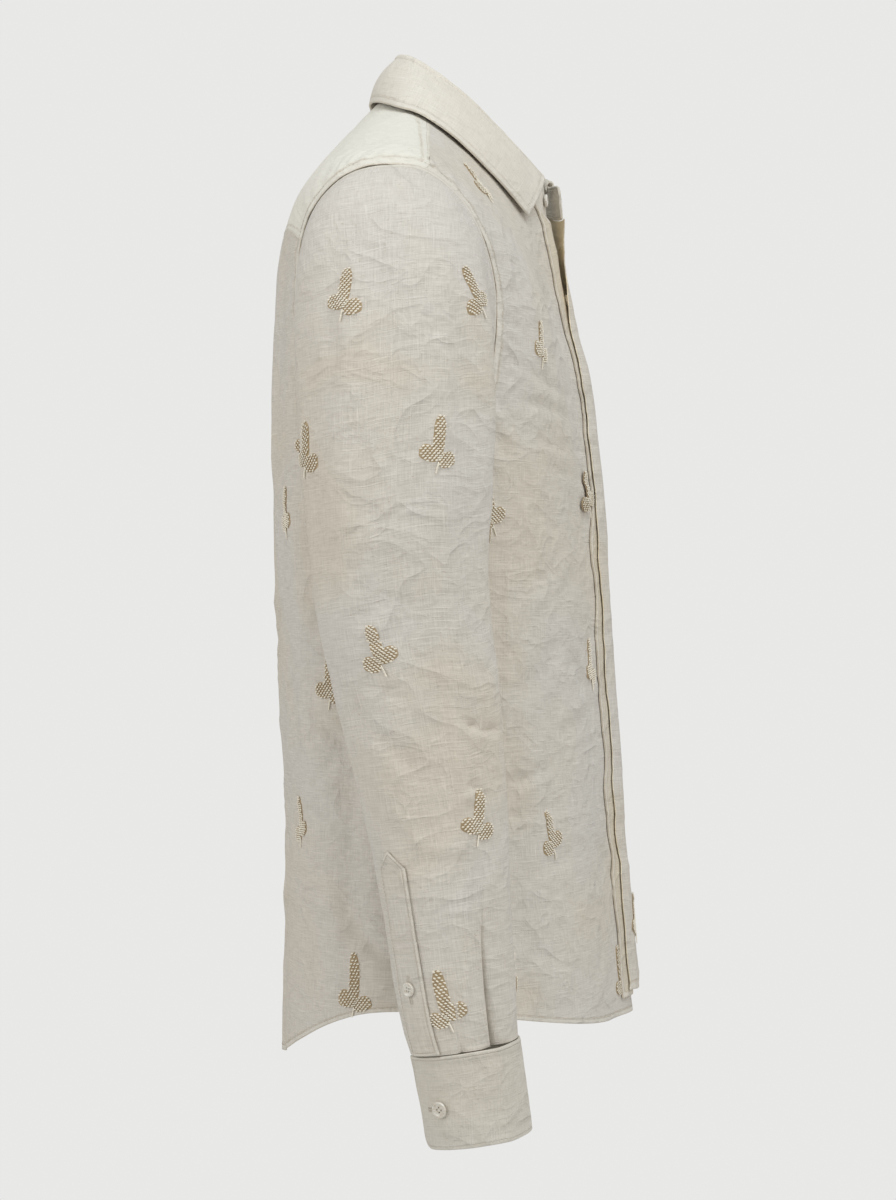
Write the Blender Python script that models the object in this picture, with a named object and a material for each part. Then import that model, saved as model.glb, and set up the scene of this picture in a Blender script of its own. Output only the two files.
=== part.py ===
# Long-sleeved linen shirt with a hidden button fly, filled out as if worn.
# Metres, +Z up. The front faces -Y, the wearer's right arm is at -X, and the
# origin is the middle of the neck opening at shoulder height.

import math

import bmesh
import bpy
import numpy as np
from mathutils import Matrix, Vector, geometry

# Cloth and seams
CLOTH = 0.0012
BAND = 0.0020
SEAM_GAP = 0.0003
PLY_GAP = 0.0007

# The closure at the front: a strip with buttonholes under the left front's free edge
BUTTON_ROOM = 0.0038
STRIP_OUTER = PLY_GAP + CLOTH
FLY_RISE = STRIP_OUTER + BUTTON_ROOM + CLOTH
RIGHT_EDGE_X = (0.008, 0.020)
NECK_FLARE = 0.0070
STRIP_FAR_X = 0.010
FLY_RAMP = (0.027, 0.062)
LEFT_HEM_LIFT = 0.026
STRIP_HEM_LIFT = 0.020

# Buttons
FLY_BUTTON_R = 0.0050
FLY_BUTTON_T = 0.0018
FLY_BUTTON_X = -0.006
FLY_BUTTON_Z = (-0.150, -0.235, -0.320, -0.405, -0.490, -0.575)
CUFF_BUTTON_R = 0.0058
GUARD_BUTTON_R = 0.0050
COLLAR_BUTTON_R = 0.0050
BUTTON_T = 0.0022

# Points of the panels: steps along each seam, and the spacing of those between
NECK_FRONT_STEPS = 8
YOKE_SEAM_STEPS = 6
NECK_BACK_STEPS = 14
SIDE_STEPS = 18
ARM_FRONT_STEPS = 11
ARM_YOKE_STEPS = 7
ARM_BACK_STEPS = 8
HEM_STEPS = 16
SPACING = 0.026
FLY_SPACING = 0.015
SLEEVE_ROWS = 22

# Rings round the body from the neck seam (0) to the hem (8). The side point is
# the widest one, and each half has its own squareness.
SIDE_Y = 0.014
RING_COLUMNS = (
    "half_width", "y_front", "y_back", "z_front", "z_side", "z_back",
    "square_front", "square_back", "keel",
)
BODY_RINGS = (
    (0.067, -0.090, 0.036, -0.088, -0.004, 0.006, 2.0, 2.0, 0.006),
    (0.118, -0.092, 0.059, -0.113, -0.026, -0.022, 2.0, 2.2, 0.010),
    (0.170, -0.095, 0.084, -0.141, -0.049, -0.056, 2.1, 2.6, 0.012),
    (0.213, -0.101, 0.104, -0.176, -0.074, -0.100, 2.2, 3.0, 0.013),
    (0.214, -0.111, 0.113, -0.216, -0.140, -0.156, 2.2, 3.2, 0.014),
    (0.207, -0.118, 0.117, -0.286, -0.276, -0.281, 2.2, 3.0, 0.014),
    (0.196, -0.128, 0.1135, -0.430, -0.430, -0.430, 2.2, 2.7, 0.014),
    (0.198, -0.137, 0.109, -0.560, -0.560, -0.560, 2.2, 2.6, 0.014),
    (0.206, -0.149, 0.112, -0.706, -0.678, -0.730, 2.2, 2.6, 0.014),
)
KEEL_WIDTH = 0.038
RIDGE_POWER_FRONT = 1.5
RIDGE_POWER_BACK = 2.0

# Armhole on the body: ring numbers at its top and foot, and how far in degrees it
# cuts into the front and the back
ARMHOLE_TOP = 3.0
ARMHOLE_FOOT = 5.0
ARMHOLE_INTO_FRONT = 30.0
ARMHOLE_INTO_BACK = 41.0
ARMHOLE_POWER_FRONT = 0.6
ARMHOLE_POWER_BACK = 1.0
YOKE_SEAM_FRONT = 6.0
YOKE_SEAM_BACK = 75.5
YOKE_NECK_ANGLE = 79.0
YOKE_DROP_BACK = 3.2

# Soft folds: angle in degrees (on the body from the centre front, wearer's left
# positive; on the sleeve from its outer side, back positive), rings where the fold
# starts and ends, drift and half width in degrees, depth in mm
FOLD_COLUMNS = ("angle", "start", "end", "drift", "half_width", "depth")
BODY_FOLDS = (
    (-62.0, 5.6, 8.6, 6.0, 7.0, 4.5),
    (-38.0, 5.2, 7.8, -8.0, 6.0, 3.0),
    (-112.0, 4.2, 8.6, 5.0, 8.0, 5.0),
    (-136.0, 3.6, 7.6, 8.0, 7.0, -3.5),
    (-158.0, 5.4, 8.8, -4.0, 7.0, 3.5),
    (175.0, 5.8, 8.8, 4.0, 8.0, 3.0),
    (150.0, 4.4, 8.4, 6.0, 8.0, 4.5),
    (121.0, 4.6, 8.6, -5.0, 8.0, 4.5),
    (60.0, 5.4, 8.6, 5.0, 7.0, 4.5),
    (36.0, 5.8, 8.2, -6.0, 6.0, 3.0),
)

# Rings down the right sleeve below the armhole. "out" is the side away from the
# body, "in" the side next to it, lean is the rise towards the front per metre.
SLEEVE_COLUMNS = ("out_x", "out_z", "in_x", "in_z", "mid_y", "half_depth", "lean")
SLEEVE_RINGS = (
    (0.243, -0.087, 0.2115, -0.2800, 0.0200, 0.0685, 0.00),
    (0.269, -0.115, 0.2125, -0.2845, 0.0195, 0.0695, 0.00),
    (0.287, -0.157, 0.2125, -0.2900, 0.0185, 0.0700, 0.00),
    (0.298, -0.215, 0.2125, -0.2970, 0.0178, 0.0690, 0.00),
    (0.304, -0.304, 0.2125, -0.3040, 0.0178, 0.0660, 0.00),
    (0.302, -0.358, 0.2090, -0.3580, 0.0151, 0.0620, 0.02),
    (0.300, -0.412, 0.2060, -0.4120, 0.0100, 0.0605, 0.05),
    (0.297, -0.481, 0.2060, -0.4810, -0.0014, 0.0546, 0.10),
    (0.294, -0.550, 0.2075, -0.5500, -0.0125, 0.0480, 0.13),
    (0.292, -0.612, 0.2110, -0.6120, -0.0185, 0.0436, 0.15),
    (0.291, -0.664, 0.2155, -0.6640, -0.0245, 0.0405, 0.16),
    (0.2895, -0.6935, 0.2175, -0.6935, -0.0290, 0.0375, 0.16),
)
SLEEVE_EGG = (1.0, 0.55, 0.25, 0.08)
SLEEVE_SQUARE = 2.15
SLEEVE_FOLDS = (
    (-62.0, 2.6, 7.2, 14.0, 17.0, 3.0),
    (62.0, 2.2, 7.0, -6.0, 17.0, 5.0),
    (8.0, 5.6, 8.4, -34.0, 13.0, 2.6),
    (-18.0, 7.2, 9.6, 30.0, 13.0, 2.6),
    (95.0, 6.4, 9.4, 20.0, 16.0, 3.5),
    (-100.0, 5.8, 8.6, -24.0, 16.0, 3.5),
    (150.0, 4.4, 8.6, 10.0, 18.0, 4.0),
    (-30.0, 9.6, 13.2, 0.0, 9.0, 3.4),
)

# Cuff: a band that laps over itself towards the back of the arm
CUFF_TOP_Z = -0.6940
CUFF_HEIGHT = 0.0645
CUFF_TOP = (0.2535, -0.0300, 0.0370, 0.0390)
CUFF_FOOT = (0.2535, -0.0400, 0.0350, 0.0370)
CUFF_LEAN = 0.16
CUFF_END_ANGLE = 80.0
CUFF_LAP = 40.0
CUFF_LAP_RISE = 0.0030
CUFF_BUTTON = (37.0, 0.56)
CUFF_CORNER = 0.012
CUFF_COLUMNS = 30
CUFF_ROWS = 4

# Pointed placket on the sleeve: ring numbers at its foot and head, angles at each
PLACKET_FOOT = 12.0
PLACKET_SHOULDER = 9.22
PLACKET_POINT = 9.03
PLACKET_ANGLE_FOOT = 43.0
PLACKET_ANGLE_HEAD = 47.0
PLACKET_HALF_WIDTH = 0.0130
PLACKET_ROWS = 12
PLACKET_COLUMNS = 4
GUARD_BUTTON = (44.0, 10.62)

# Collar: the fold line and the fall's lower edge, from the centre back to the front
COLLAR_COLUMNS = ("angle", "fold_x", "fold_y", "fold_z", "edge_angle", "edge_ring")
COLLAR_SECTIONS = (
    (180.0, 0.000, 0.0230, 0.0370, 180.0, 0.255),
    (150.0, 0.032, 0.0190, 0.0350, 150.0, 0.285),
    (120.0, 0.053, 0.0060, 0.0270, 118.0, 0.410),
    (90.0, 0.0620, -0.0150, 0.0120, 86.0, 0.730),
    (60.0, 0.0600, -0.0420, -0.0110, 65.0, 0.960),
    (30.0, 0.0450, -0.0700, -0.0370, 46.0, 0.960),
    (12.0, 0.0190, -0.0920, -0.0560, 32.5, 0.920),
)
COLLAR_END = 12.0
COLLAR_FRONT = (-0.0945, -0.0575)
FALL_COLUMNS = 30
FALL_ROWS = 5
FALL_BELLY = 0.0030
FALL_STANDOFF = 0.0006
FALL_EDGE_RISE = 0.0026
STAND_COLUMNS = 36
STAND_ROWS = 3
STAND_INSET = 0.0012
STAND_CORNER = 0.010
NECK_AXIS = (0.0, -0.028)
COLLAR_BUTTON_ANGLE = -9.0


def table(rows, names):
    """The columns of a table by name, as arrays."""
    return {name: np.array([row[i] for row in rows]) for i, name in enumerate(names)}


def smooth_read(values, at):
    """Catmull-Rom reading of evenly numbered values at fractional row numbers."""
    values = np.asarray(values, float)
    last = len(values) - 1
    at = np.clip(at, 0.0, last)
    low = np.minimum(np.floor(at).astype(int), last - 1)
    part = at - low
    if values.ndim > 1:
        part = part.reshape(part.shape + (1,) * (values.ndim - 1))
    before = values[np.maximum(low - 1, 0)]
    first, second = values[low], values[low + 1]
    after = values[np.minimum(low + 2, last)]
    return first + 0.5 * part * (
        second - before
        + part * (2 * before - 5 * first + 4 * second - after
                  + part * (3 * (first - second) + after - before))
    )


def smooth_step(value, low, high):
    """0 below low, 1 above high, with a soft turn between."""
    share = np.clip((value - low) / (high - low), 0.0, 1.0)
    return share * share * (3 - 2 * share)


def fold_depth(rows, angle, ring):
    """How far a point sinks below the plain form, from a table of folds."""
    depth = np.zeros_like(angle)
    for values in rows:
        fold = dict(zip(FOLD_COLUMNS, values))
        length = fold["end"] - fold["start"]
        share = (ring - fold["start"]) / length
        centre = fold["angle"] + fold["drift"] * share
        away = (angle - centre + 180.0) % 360.0 - 180.0
        across = np.exp(-((away / fold["half_width"]) ** 2))
        along = smooth_step(share, 0.0, 0.45) * (1 - smooth_step(share, 0.72, 1.0))
        depth += fold["depth"] * 0.001 * across * along
    return depth


RINGS = table(BODY_RINGS, RING_COLUMNS)
RING_STEPS = np.arange(len(BODY_RINGS), dtype=float)
RING_LENGTHS = np.concatenate([[0.0], np.cumsum(np.hypot(
    np.diff(RINGS["half_width"]), np.diff((RINGS["z_side"] + RINGS["z_back"]) / 2)))])
HEM_STEP = RING_LENGTHS[-1] - RING_LENGTHS[-2]


def body_form(angle, ring):
    """A point of the plain body form, at an angle from the centre front and a ring."""
    read = {name: smooth_read(column, ring) for name, column in RINGS.items()}
    turn = np.radians(angle)
    sine, cosine = np.sin(turn), np.cos(turn)
    at_front = cosine > 0
    square = np.where(at_front, read["square_front"], read["square_back"])
    depth = np.where(at_front, read["y_front"] - SIDE_Y, read["y_back"] - SIDE_Y)
    x = read["half_width"] * np.sign(sine) * np.abs(sine) ** (2 / square)
    y = SIDE_Y + depth * np.abs(cosine) ** (2 / square)
    keel = read["keel"] * np.exp(-((x / KEEL_WIDTH) ** 2))
    y = y - np.where(at_front, keel, 0.0)
    end_z = np.where(at_front, read["z_front"], read["z_back"])
    power = np.where(at_front, RIDGE_POWER_FRONT, RIDGE_POWER_BACK)
    z = read["z_side"] + (end_z - read["z_side"]) * np.abs(cosine) ** power
    return np.stack([x, y, z], axis=-1)


def outward(form, angle, ring, step_angle=0.6, step_ring=0.02):
    """Unit normals of a form by differences, pointing away from its axis."""
    along = form(angle + step_angle, ring) - form(angle - step_angle, ring)
    down = form(angle, ring + step_ring) - form(angle, ring - step_ring)
    normal = np.cross(down, along)
    return normal / np.maximum(np.linalg.norm(normal, axis=-1, keepdims=True), 1e-12)


def body_surface(angle, ring, rise=0.0):
    """A point of the worn body with its folds, and its outward normal."""
    angle, ring = np.asarray(angle, float), np.asarray(ring, float)
    point = body_form(angle, ring)
    normal = outward(body_form, angle, np.clip(ring, 0.03, 7.97))
    sink = fold_depth(BODY_FOLDS, angle, ring)
    return point + normal * (rise - sink)[..., None], normal


def armhole(turn, side):
    """Angle and ring of the armhole at a turn from its top: side 1 front, -1 back."""
    swing = np.radians(turn)
    middle = (ARMHOLE_TOP + ARMHOLE_FOOT) / 2
    ring = middle - (ARMHOLE_FOOT - ARMHOLE_TOP) / 2 * np.cos(swing)
    sine = np.clip(np.sin(swing), 0.0, 1.0)
    if side > 0:
        return 90.0 - ARMHOLE_INTO_FRONT * sine**ARMHOLE_POWER_FRONT, ring
    return 90.0 + ARMHOLE_INTO_BACK * sine**ARMHOLE_POWER_BACK, ring


def line(start, end, count):
    """Evenly spaced values from start to end."""
    return np.linspace(start, end, count + 1)


def chain(*pieces):
    """Joins boundary pieces into a closed outline, without the shared end points."""
    return np.concatenate([np.stack(piece, axis=-1)[:-1] for piece in pieces])


def pull_in(grid, amount):
    """Moves the four edges of a grid of points inward by amount."""
    moved = grid.copy()
    for edge, beside in ((0, 1), (-1, -2)):
        step = grid[beside] - grid[edge]
        moved[edge] += amount * step / np.linalg.norm(step, axis=-1, keepdims=True)
    grid = moved.copy()
    for edge, beside in ((0, 1), (-1, -2)):
        step = grid[:, beside] - grid[:, edge]
        moved[:, edge] += amount * step / np.linalg.norm(step, axis=-1, keepdims=True)
    return moved


def flatten(domain, centre):
    """Angles and rings laid out flat, in metres near enough for an even spacing."""
    width = np.radians(1) * smooth_read(RINGS["half_width"], domain[..., 1])
    down = np.interp(domain[..., 1], RING_STEPS, RING_LENGTHS)
    return np.stack([(domain[..., 0] - centre) * width, down], axis=-1)


def unflatten(flat, centre):
    """Angles and rings of flat points."""
    ring = np.interp(flat[..., 1], RING_LENGTHS, RING_STEPS)
    width = np.radians(1) * smooth_read(RINGS["half_width"], ring)
    return np.stack([centre + flat[..., 0] / width, ring], axis=-1)


def border_distance(points, outline):
    """Distance of flat points from an outline, below zero outside it."""
    start, end = outline, np.roll(outline, -1, axis=0)
    nearest = np.full(len(points), 1e9)
    inside = np.zeros(len(points), bool)
    for a, b in zip(start, end):
        step = b - a
        share = np.clip(((points - a) @ step) / (step @ step), 0, 1)
        away = np.linalg.norm(points - a - share[:, None] * step, axis=1)
        nearest = np.minimum(nearest, away)
        crosses = (a[1] > points[:, 1]) != (b[1] > points[:, 1])
        if a[1] != b[1]:
            reach = a[0] + (points[:, 1] - a[1]) * step[0] / step[1]
            inside ^= crosses & (points[:, 0] < reach)
    return np.where(inside, nearest, -nearest)


def fill(flat, fine_half_width=0.0):
    """Points and triangles that fill a flat outline. The outline's points come first."""
    low, high = flat.min(0), flat.max(0)
    picked = []
    for spacing, fine in ((SPACING, False), (FLY_SPACING, True)):
        if fine and not fine_half_width:
            continue
        xs = np.arange(low[0] // spacing, high[0] // spacing + 2) * spacing
        ys = np.arange(low[1] // spacing, high[1] // spacing + 2) * spacing
        grid = np.stack(np.meshgrid(xs, ys), axis=-1).reshape(-1, 2)
        near = np.abs(grid[:, 0]) < fine_half_width
        keep = (border_distance(grid, flat) > 0.45 * spacing) & (near == fine)
        picked.append(grid[keep])
    points = np.concatenate([flat] + picked)
    count = len(flat)
    border = [(i, (i + 1) % count) for i in range(count)]
    filled = geometry.delaunay_2d_cdt(
        [Vector(point) for point in points], border, [list(range(count))], 1, 1e-7
    )
    return np.array([tuple(point) for point in filled[0]]), filled[2], count


def wall(name, outer, inner, material, closed=False):
    """A closed solid between two grids of points. Closed ones run round a tube."""
    rows, columns = outer.shape[:2]
    mesh = bmesh.new()
    skins = []
    for grid in (outer, inner):
        skins.append([[mesh.verts.new(point) for point in row] for row in grid])
    around = columns if closed else columns - 1
    for j in range(rows - 1):
        for i in range(around):
            k = (i + 1) % columns
            for skin in skins:
                quad = [skin[j][i], skin[j][k], skin[j + 1][k], skin[j + 1][i]]
                mesh.faces.new(quad)
    out, back = skins
    for j in (0, rows - 1):
        for i in range(around):
            k = (i + 1) % columns
            mesh.faces.new([out[j][i], out[j][k], back[j][k], back[j][i]])
    if not closed:
        for i in (0, columns - 1):
            for j in range(rows - 1):
                mesh.faces.new([out[j][i], out[j + 1][i], back[j + 1][i], back[j][i]])
    bmesh.ops.recalc_face_normals(mesh, faces=mesh.faces)
    return finish(name, mesh, material, 40)


def finish(name, mesh, material, sharp):
    """Puts a mesh in the shirt's collection, with edges sharp above an angle."""
    data = bpy.data.meshes.new(name)
    mesh.to_mesh(data)
    mesh.free()
    data.shade_smooth()
    data.set_sharp_from_angle(angle=math.radians(sharp))
    data.materials.append(material)
    SHIRT.objects.link(bpy.data.objects.new(name, data))


def cloth_material(name, colour, roughness):
    """Plain finish of a piece."""
    material = bpy.data.materials.new(name)
    material.use_nodes = True
    shader = material.node_tree.nodes["Principled BSDF"]
    shader.inputs["Base Color"].default_value = (*colour, 1.0)
    shader.inputs["Roughness"].default_value = roughness
    shader.inputs["Metallic"].default_value = 0.0
    return material


def shell(name, outer, inner, faces, count, material):
    """A closed solid between two skins of the same faces. The first points are its rim."""
    mesh = bmesh.new()
    skins = [[mesh.verts.new(point) for point in skin] for skin in (outer, inner)]
    for face in faces:
        for skin in skins:
            mesh.faces.new([skin[i] for i in face])
    out, back = skins
    for i in range(count):
        k = (i + 1) % count
        mesh.faces.new([out[i], out[k], back[k], back[i]])
    bmesh.ops.recalc_face_normals(mesh, faces=mesh.faces)
    return finish(name, mesh, material, 40)


def panel(name, outline, rise, material, centre=0.0, fine_half_width=0.0):
    """A body panel that fills an outline of angles and rings, with its own rise."""
    flat, faces, count = fill(flatten(outline, centre), fine_half_width)
    ahead = np.roll(flat[:count], -1, axis=0) - flat[:count]
    ahead /= np.linalg.norm(ahead, axis=1, keepdims=True)
    area = np.sum(flat[:count, 0] * np.roll(flat[:count, 1], -1)
                  - np.roll(flat[:count, 0], -1) * flat[:count, 1])
    inward = np.stack([-ahead[:, 1], ahead[:, 0]], axis=1) * np.sign(area)
    both = inward + np.roll(inward, 1, axis=0)
    both /= 1 + np.sum(inward * np.roll(inward, 1, axis=0), axis=1, keepdims=True)
    flat[:count] += both * SEAM_GAP / 2
    domain = unflatten(flat, centre)
    angle, ring = domain[:, 0], domain[:, 1]
    point, normal = body_surface(angle, ring, rise(angle, ring))
    return shell(name, point, point - normal * CLOTH, faces, count, material)


def angle_at_x(x, ring):
    """The angle near the centre front where the body form reaches a given x."""
    half = smooth_read(RINGS["half_width"], ring)
    square = smooth_read(RINGS["square_front"], ring)
    share = np.clip(np.abs(x) / half, 0.0, 0.98)
    return np.sign(x) * np.degrees(np.arcsin(share ** (square / 2)))


def right_edge_x(ring):
    """Edge of the right front, which lies under the left one."""
    neck, below = RIGHT_EDGE_X
    return neck + (below - neck) * smooth_step(ring, 0.0, 1.5)


def left_edge_x(ring):
    """Free edge of the left front: it lies to the wearer's right of the centre."""
    wave = 0.0012 * np.sin(ring * 9.0) + 0.0008 * np.sin(ring * 21.0 + 1.0)
    return -0.004 - 0.019 * smooth_step(ring, 0.4, 4.0) + wave * smooth_step(ring, 3.0, 4.5)


def strip_edge_x(ring):
    """Edge of the buttonhole strip, which peeps out beyond the left front's edge."""
    gape = 0.022 * (1 - smooth_step(ring, 0.6, 4.4)) + 0.009 * smooth_step(ring, 4.9, 6.0)
    wave = 0.0015 * np.sin(ring * 13.0 + 0.5) * smooth_step(ring, 4.6, 5.4)
    return left_edge_x(ring) - 0.003 - gape - wave


def stand_off(x, ring):
    """How far the left front stands off the body to clear what lies under its edge."""
    flare = NECK_FLARE * (1 - smooth_step(x, -0.012, 0.030)) * (1 - smooth_step(ring, 0.0, 1.3))
    return FLY_RISE * (1 - smooth_step(x, *FLY_RAMP)) + flare


def left_rise(angle, ring):
    """Rise of the left front over its own points."""
    return stand_off(body_form(angle, ring)[..., 0], ring)


def hem_ring(angle, side):
    """Ring of the hem. The left front was hung higher near its free edge."""
    lift = LEFT_HEM_LIFT * (1 - smooth_step(angle, 4.0, 70.0)) if side > 0 else 0.0 * angle
    return 8.0 - lift / HEM_STEP


def flat_rise(angle, ring):
    """No rise: the panel lies on the body form."""
    return np.zeros_like(angle)


def front_panel(name, side, material):
    """One front: hem, side seam, armhole, yoke seam, neck and free edge."""
    edge_x = left_edge_x if side > 0 else right_edge_x
    hem_start = side * angle_at_x(edge_x(8.0), 8.0)
    hem = line(hem_start, 90.0, HEM_STEPS)
    hem_rings = hem_ring(hem, side)
    seam_angle, seam_ring = armhole(YOKE_SEAM_FRONT, 1)
    rings = line(0.0, hem_rings[0], SIDE_STEPS + ARM_FRONT_STEPS)
    edge = side * angle_at_x(edge_x(rings), rings)
    outline = chain(
        (hem, hem_rings),
        (np.full(SIDE_STEPS + 1, 90.0), line(8.0, ARMHOLE_FOOT, SIDE_STEPS)),
        armhole(line(180.0, YOKE_SEAM_FRONT, ARM_FRONT_STEPS), 1),
        (line(seam_angle, YOKE_NECK_ANGLE, YOKE_SEAM_STEPS),
         line(seam_ring, 0.0, YOKE_SEAM_STEPS)),
        (line(YOKE_NECK_ANGLE, edge[0], NECK_FRONT_STEPS), np.zeros(NECK_FRONT_STEPS + 1)),
        (edge, rings),
    )
    outline[:, 0] *= side
    panel(name, outline, left_rise if side > 0 else flat_rise, material, 0.0, 0.075)


def back_yoke_seam(steps):
    """The seam between yoke and back, from the right armhole to the left one."""
    seam_angle, seam_ring = armhole(YOKE_SEAM_BACK, -1)
    angles = line(360.0 - seam_angle, seam_angle, steps)
    share = np.abs(angles - 180.0) / (180.0 - seam_angle)
    return angles, YOKE_DROP_BACK + (seam_ring - YOKE_DROP_BACK) * share**2


def other_side(piece):
    """A boundary piece of the left half, run backward along the right half."""
    return 360.0 - piece[0][::-1], piece[1][::-1]


def back_panel(material):
    """The whole back below the yoke, side seam to side seam."""
    side = (np.full(SIDE_STEPS + 1, 90.0), line(8.0, ARMHOLE_FOOT, SIDE_STEPS))
    arm = armhole(line(180.0, YOKE_SEAM_BACK, ARM_BACK_STEPS), -1)
    hem = line(270.0, 90.0, 2 * HEM_STEPS)
    seam = back_yoke_seam(2 * YOKE_SEAM_STEPS + NECK_BACK_STEPS)
    outline = chain(
        (hem, np.full_like(hem, 8.0)), side, arm,
        (seam[0][::-1], seam[1][::-1]), other_side(arm), other_side(side),
    )
    panel("back", outline, flat_rise, material, 180.0)


def yoke_panel(material):
    """The yoke over both shoulders, from the back seam to the two front seams."""
    front_angle, front_ring = armhole(YOKE_SEAM_FRONT, 1)
    arm_back = armhole(line(YOKE_SEAM_BACK, 0.0, ARM_YOKE_STEPS), -1)
    arm_front = armhole(line(0.0, YOKE_SEAM_FRONT, 1), 1)
    seam = (line(front_angle, YOKE_NECK_ANGLE, YOKE_SEAM_STEPS),
            line(front_ring, 0.0, YOKE_SEAM_STEPS))
    neck = line(YOKE_NECK_ANGLE, 360.0 - YOKE_NECK_ANGLE, NECK_BACK_STEPS)
    outline = chain(
        back_yoke_seam(2 * YOKE_SEAM_STEPS + NECK_BACK_STEPS), arm_back, arm_front, seam,
        (neck, np.zeros_like(neck)),
        other_side(seam), other_side(arm_front), other_side(arm_back),
    )
    panel("yoke", outline, flat_rise, material, 180.0)


def fly_strip(material):
    """The buttonhole strip that lies on the right front under the left one."""
    rows, columns = 30, 5
    rings = line(8.0 - STRIP_HEM_LIFT / HEM_STEP, 0.06, rows)
    near = angle_at_x(strip_edge_x(rings), rings)
    far = angle_at_x(np.full(rows + 1, STRIP_FAR_X), rings)
    share = np.linspace(0, 1, columns + 1)[None, :]
    angles = near[:, None] * (1 - share) + far[:, None] * share
    domain = np.stack([angles, np.repeat(rings[:, None], columns + 1, axis=1)], axis=-1)
    point, normal = body_surface(domain[..., 0], domain[..., 1], STRIP_OUTER)
    wall("fly_strip", point, point - normal * CLOTH, material)


def armhole_loop():
    """Points of the right armhole in order: front foot to top, then back to foot."""
    back_turns = np.concatenate([
        line(0.0, YOKE_SEAM_BACK, ARM_YOKE_STEPS)[1:],
        line(YOKE_SEAM_BACK, 180.0, ARM_BACK_STEPS)[1:-1],
    ])
    front_turns = np.concatenate([
        line(180.0, YOKE_SEAM_FRONT, ARM_FRONT_STEPS),
        [0.0],
    ])
    front, back = armhole(front_turns, 1), armhole(back_turns, -1)
    angle = np.concatenate([front[0], back[0]])
    ring = np.concatenate([front[1], back[1]])
    return body_surface(angle, ring, np.zeros(len(angle)))


SLEEVE = table(SLEEVE_RINGS, SLEEVE_COLUMNS)
ARMHOLE_MID_Y = 0.0170
ARMHOLE_HALF_DEPTH = 0.0720


def armhole_polar():
    """The armhole as angle from its top (back positive), reach and sideways place."""
    loop, normal = armhole_loop()
    top_z, foot_z = loop[:, 2].max(), loop[:, 2].min()
    across = (loop[:, 1] - ARMHOLE_MID_Y) / ARMHOLE_HALF_DEPTH
    upward = (loop[:, 2] - (top_z + foot_z) / 2) / ((top_z - foot_z) / 2)
    return loop, np.degrees(np.arctan2(across, upward)), np.hypot(across, upward)


def ring_points(angle, number, reach=1.0):
    """Points of one sleeve ring at angles from its outer side, back positive."""
    row = {name: column[number] for name, column in SLEEVE.items()}
    turn = np.radians(angle)
    across = np.sign(np.sin(turn)) * np.abs(np.sin(turn)) ** (2 / SLEEVE_SQUARE) * reach
    upward = np.sign(np.cos(turn)) * np.abs(np.cos(turn)) ** (2 / SLEEVE_SQUARE) * reach
    y = row["mid_y"] + row["half_depth"] * across
    x = (row["out_x"] + row["in_x"]) / 2 + (row["out_x"] - row["in_x"]) / 2 * upward
    z = (row["out_z"] + row["in_z"]) / 2 + (row["out_z"] - row["in_z"]) / 2 * upward
    z = z - (y - row["mid_y"]) * row["lean"]
    return np.stack([x, y, z], axis=-1)


def sleeve_form(angle, ring):
    """A point of the plain left sleeve (at +X) at an angle and a ring number."""
    loop, loop_angle, loop_reach = armhole_polar()
    order = np.argsort(loop_angle)
    read_at = (angle + 180.0) % 360.0 - 180.0
    reach = np.interp(read_at, loop_angle[order], loop_reach[order], period=360.0)
    start = np.stack(
        [np.interp(read_at, loop_angle[order], loop[order, i], period=360.0) for i in range(3)],
        axis=-1,
    )
    rings = [start]
    for number in range(len(SLEEVE_RINGS)):
        egg = SLEEVE_EGG[number + 1] if number + 1 < len(SLEEVE_EGG) else 0.0
        rings.append(ring_points(angle, number, 1 + (reach - 1) * egg))
    stack = np.stack(rings)
    last = len(rings) - 1
    ring = np.clip(ring, 0.0, last)
    low = np.minimum(np.floor(ring).astype(int), last - 1)
    part = (ring - low)[..., None]
    index = np.indices(low.shape)

    def pick(number):
        return stack[(np.clip(number, 0, last), *index)]

    before, first, second, after = pick(low - 1), pick(low), pick(low + 1), pick(low + 2)
    return first + 0.5 * part * (
        second - before
        + part * (2 * before - 5 * first + 4 * second - after
                  + part * (3 * (first - second) + after - before))
    )


def sleeve_surface(angle, ring, rise=0.0):
    """A point of the sleeve with its folds, and its outward normal."""
    angle, ring = np.broadcast_arrays(np.asarray(angle, float), np.asarray(ring, float))
    point = sleeve_form(angle, ring)
    normal = outward(sleeve_form, angle, np.clip(ring, 0.05, 11.95), 2.0, 0.05)
    sink = fold_depth(SLEEVE_FOLDS, angle, ring)
    return point + normal * (rise - sink)[..., None], normal


def mirrored(grid, side):
    """The same points on the wearer's right (side -1) or left (side 1)."""
    return grid * np.array([side, 1.0, 1.0])


def sleeve(name, side, material):
    """One sleeve from the armhole seam to the cuff seam."""
    loop, angles, reach = armhole_polar()
    rings = np.concatenate([line(0.0, 4.0, 10), line(4.0, 12.0, SLEEVE_ROWS - 10)[1:]])
    angle_grid = np.repeat(angles[None, :], len(rings), axis=0)
    ring_grid = np.repeat(rings[:, None], len(angles), axis=1)
    point, normal = sleeve_surface(angle_grid, ring_grid)
    outer, inner = point.copy(), point - normal * CLOTH
    for grid in (outer, inner):
        for edge, beside in ((0, 1), (-1, -2)):
            step = grid[beside] - grid[edge]
            step /= np.linalg.norm(step, axis=-1, keepdims=True)
            grid[edge] += SEAM_GAP / 2 * step
    wall(name, mirrored(outer, side), mirrored(inner, side), material, closed=True)


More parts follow.
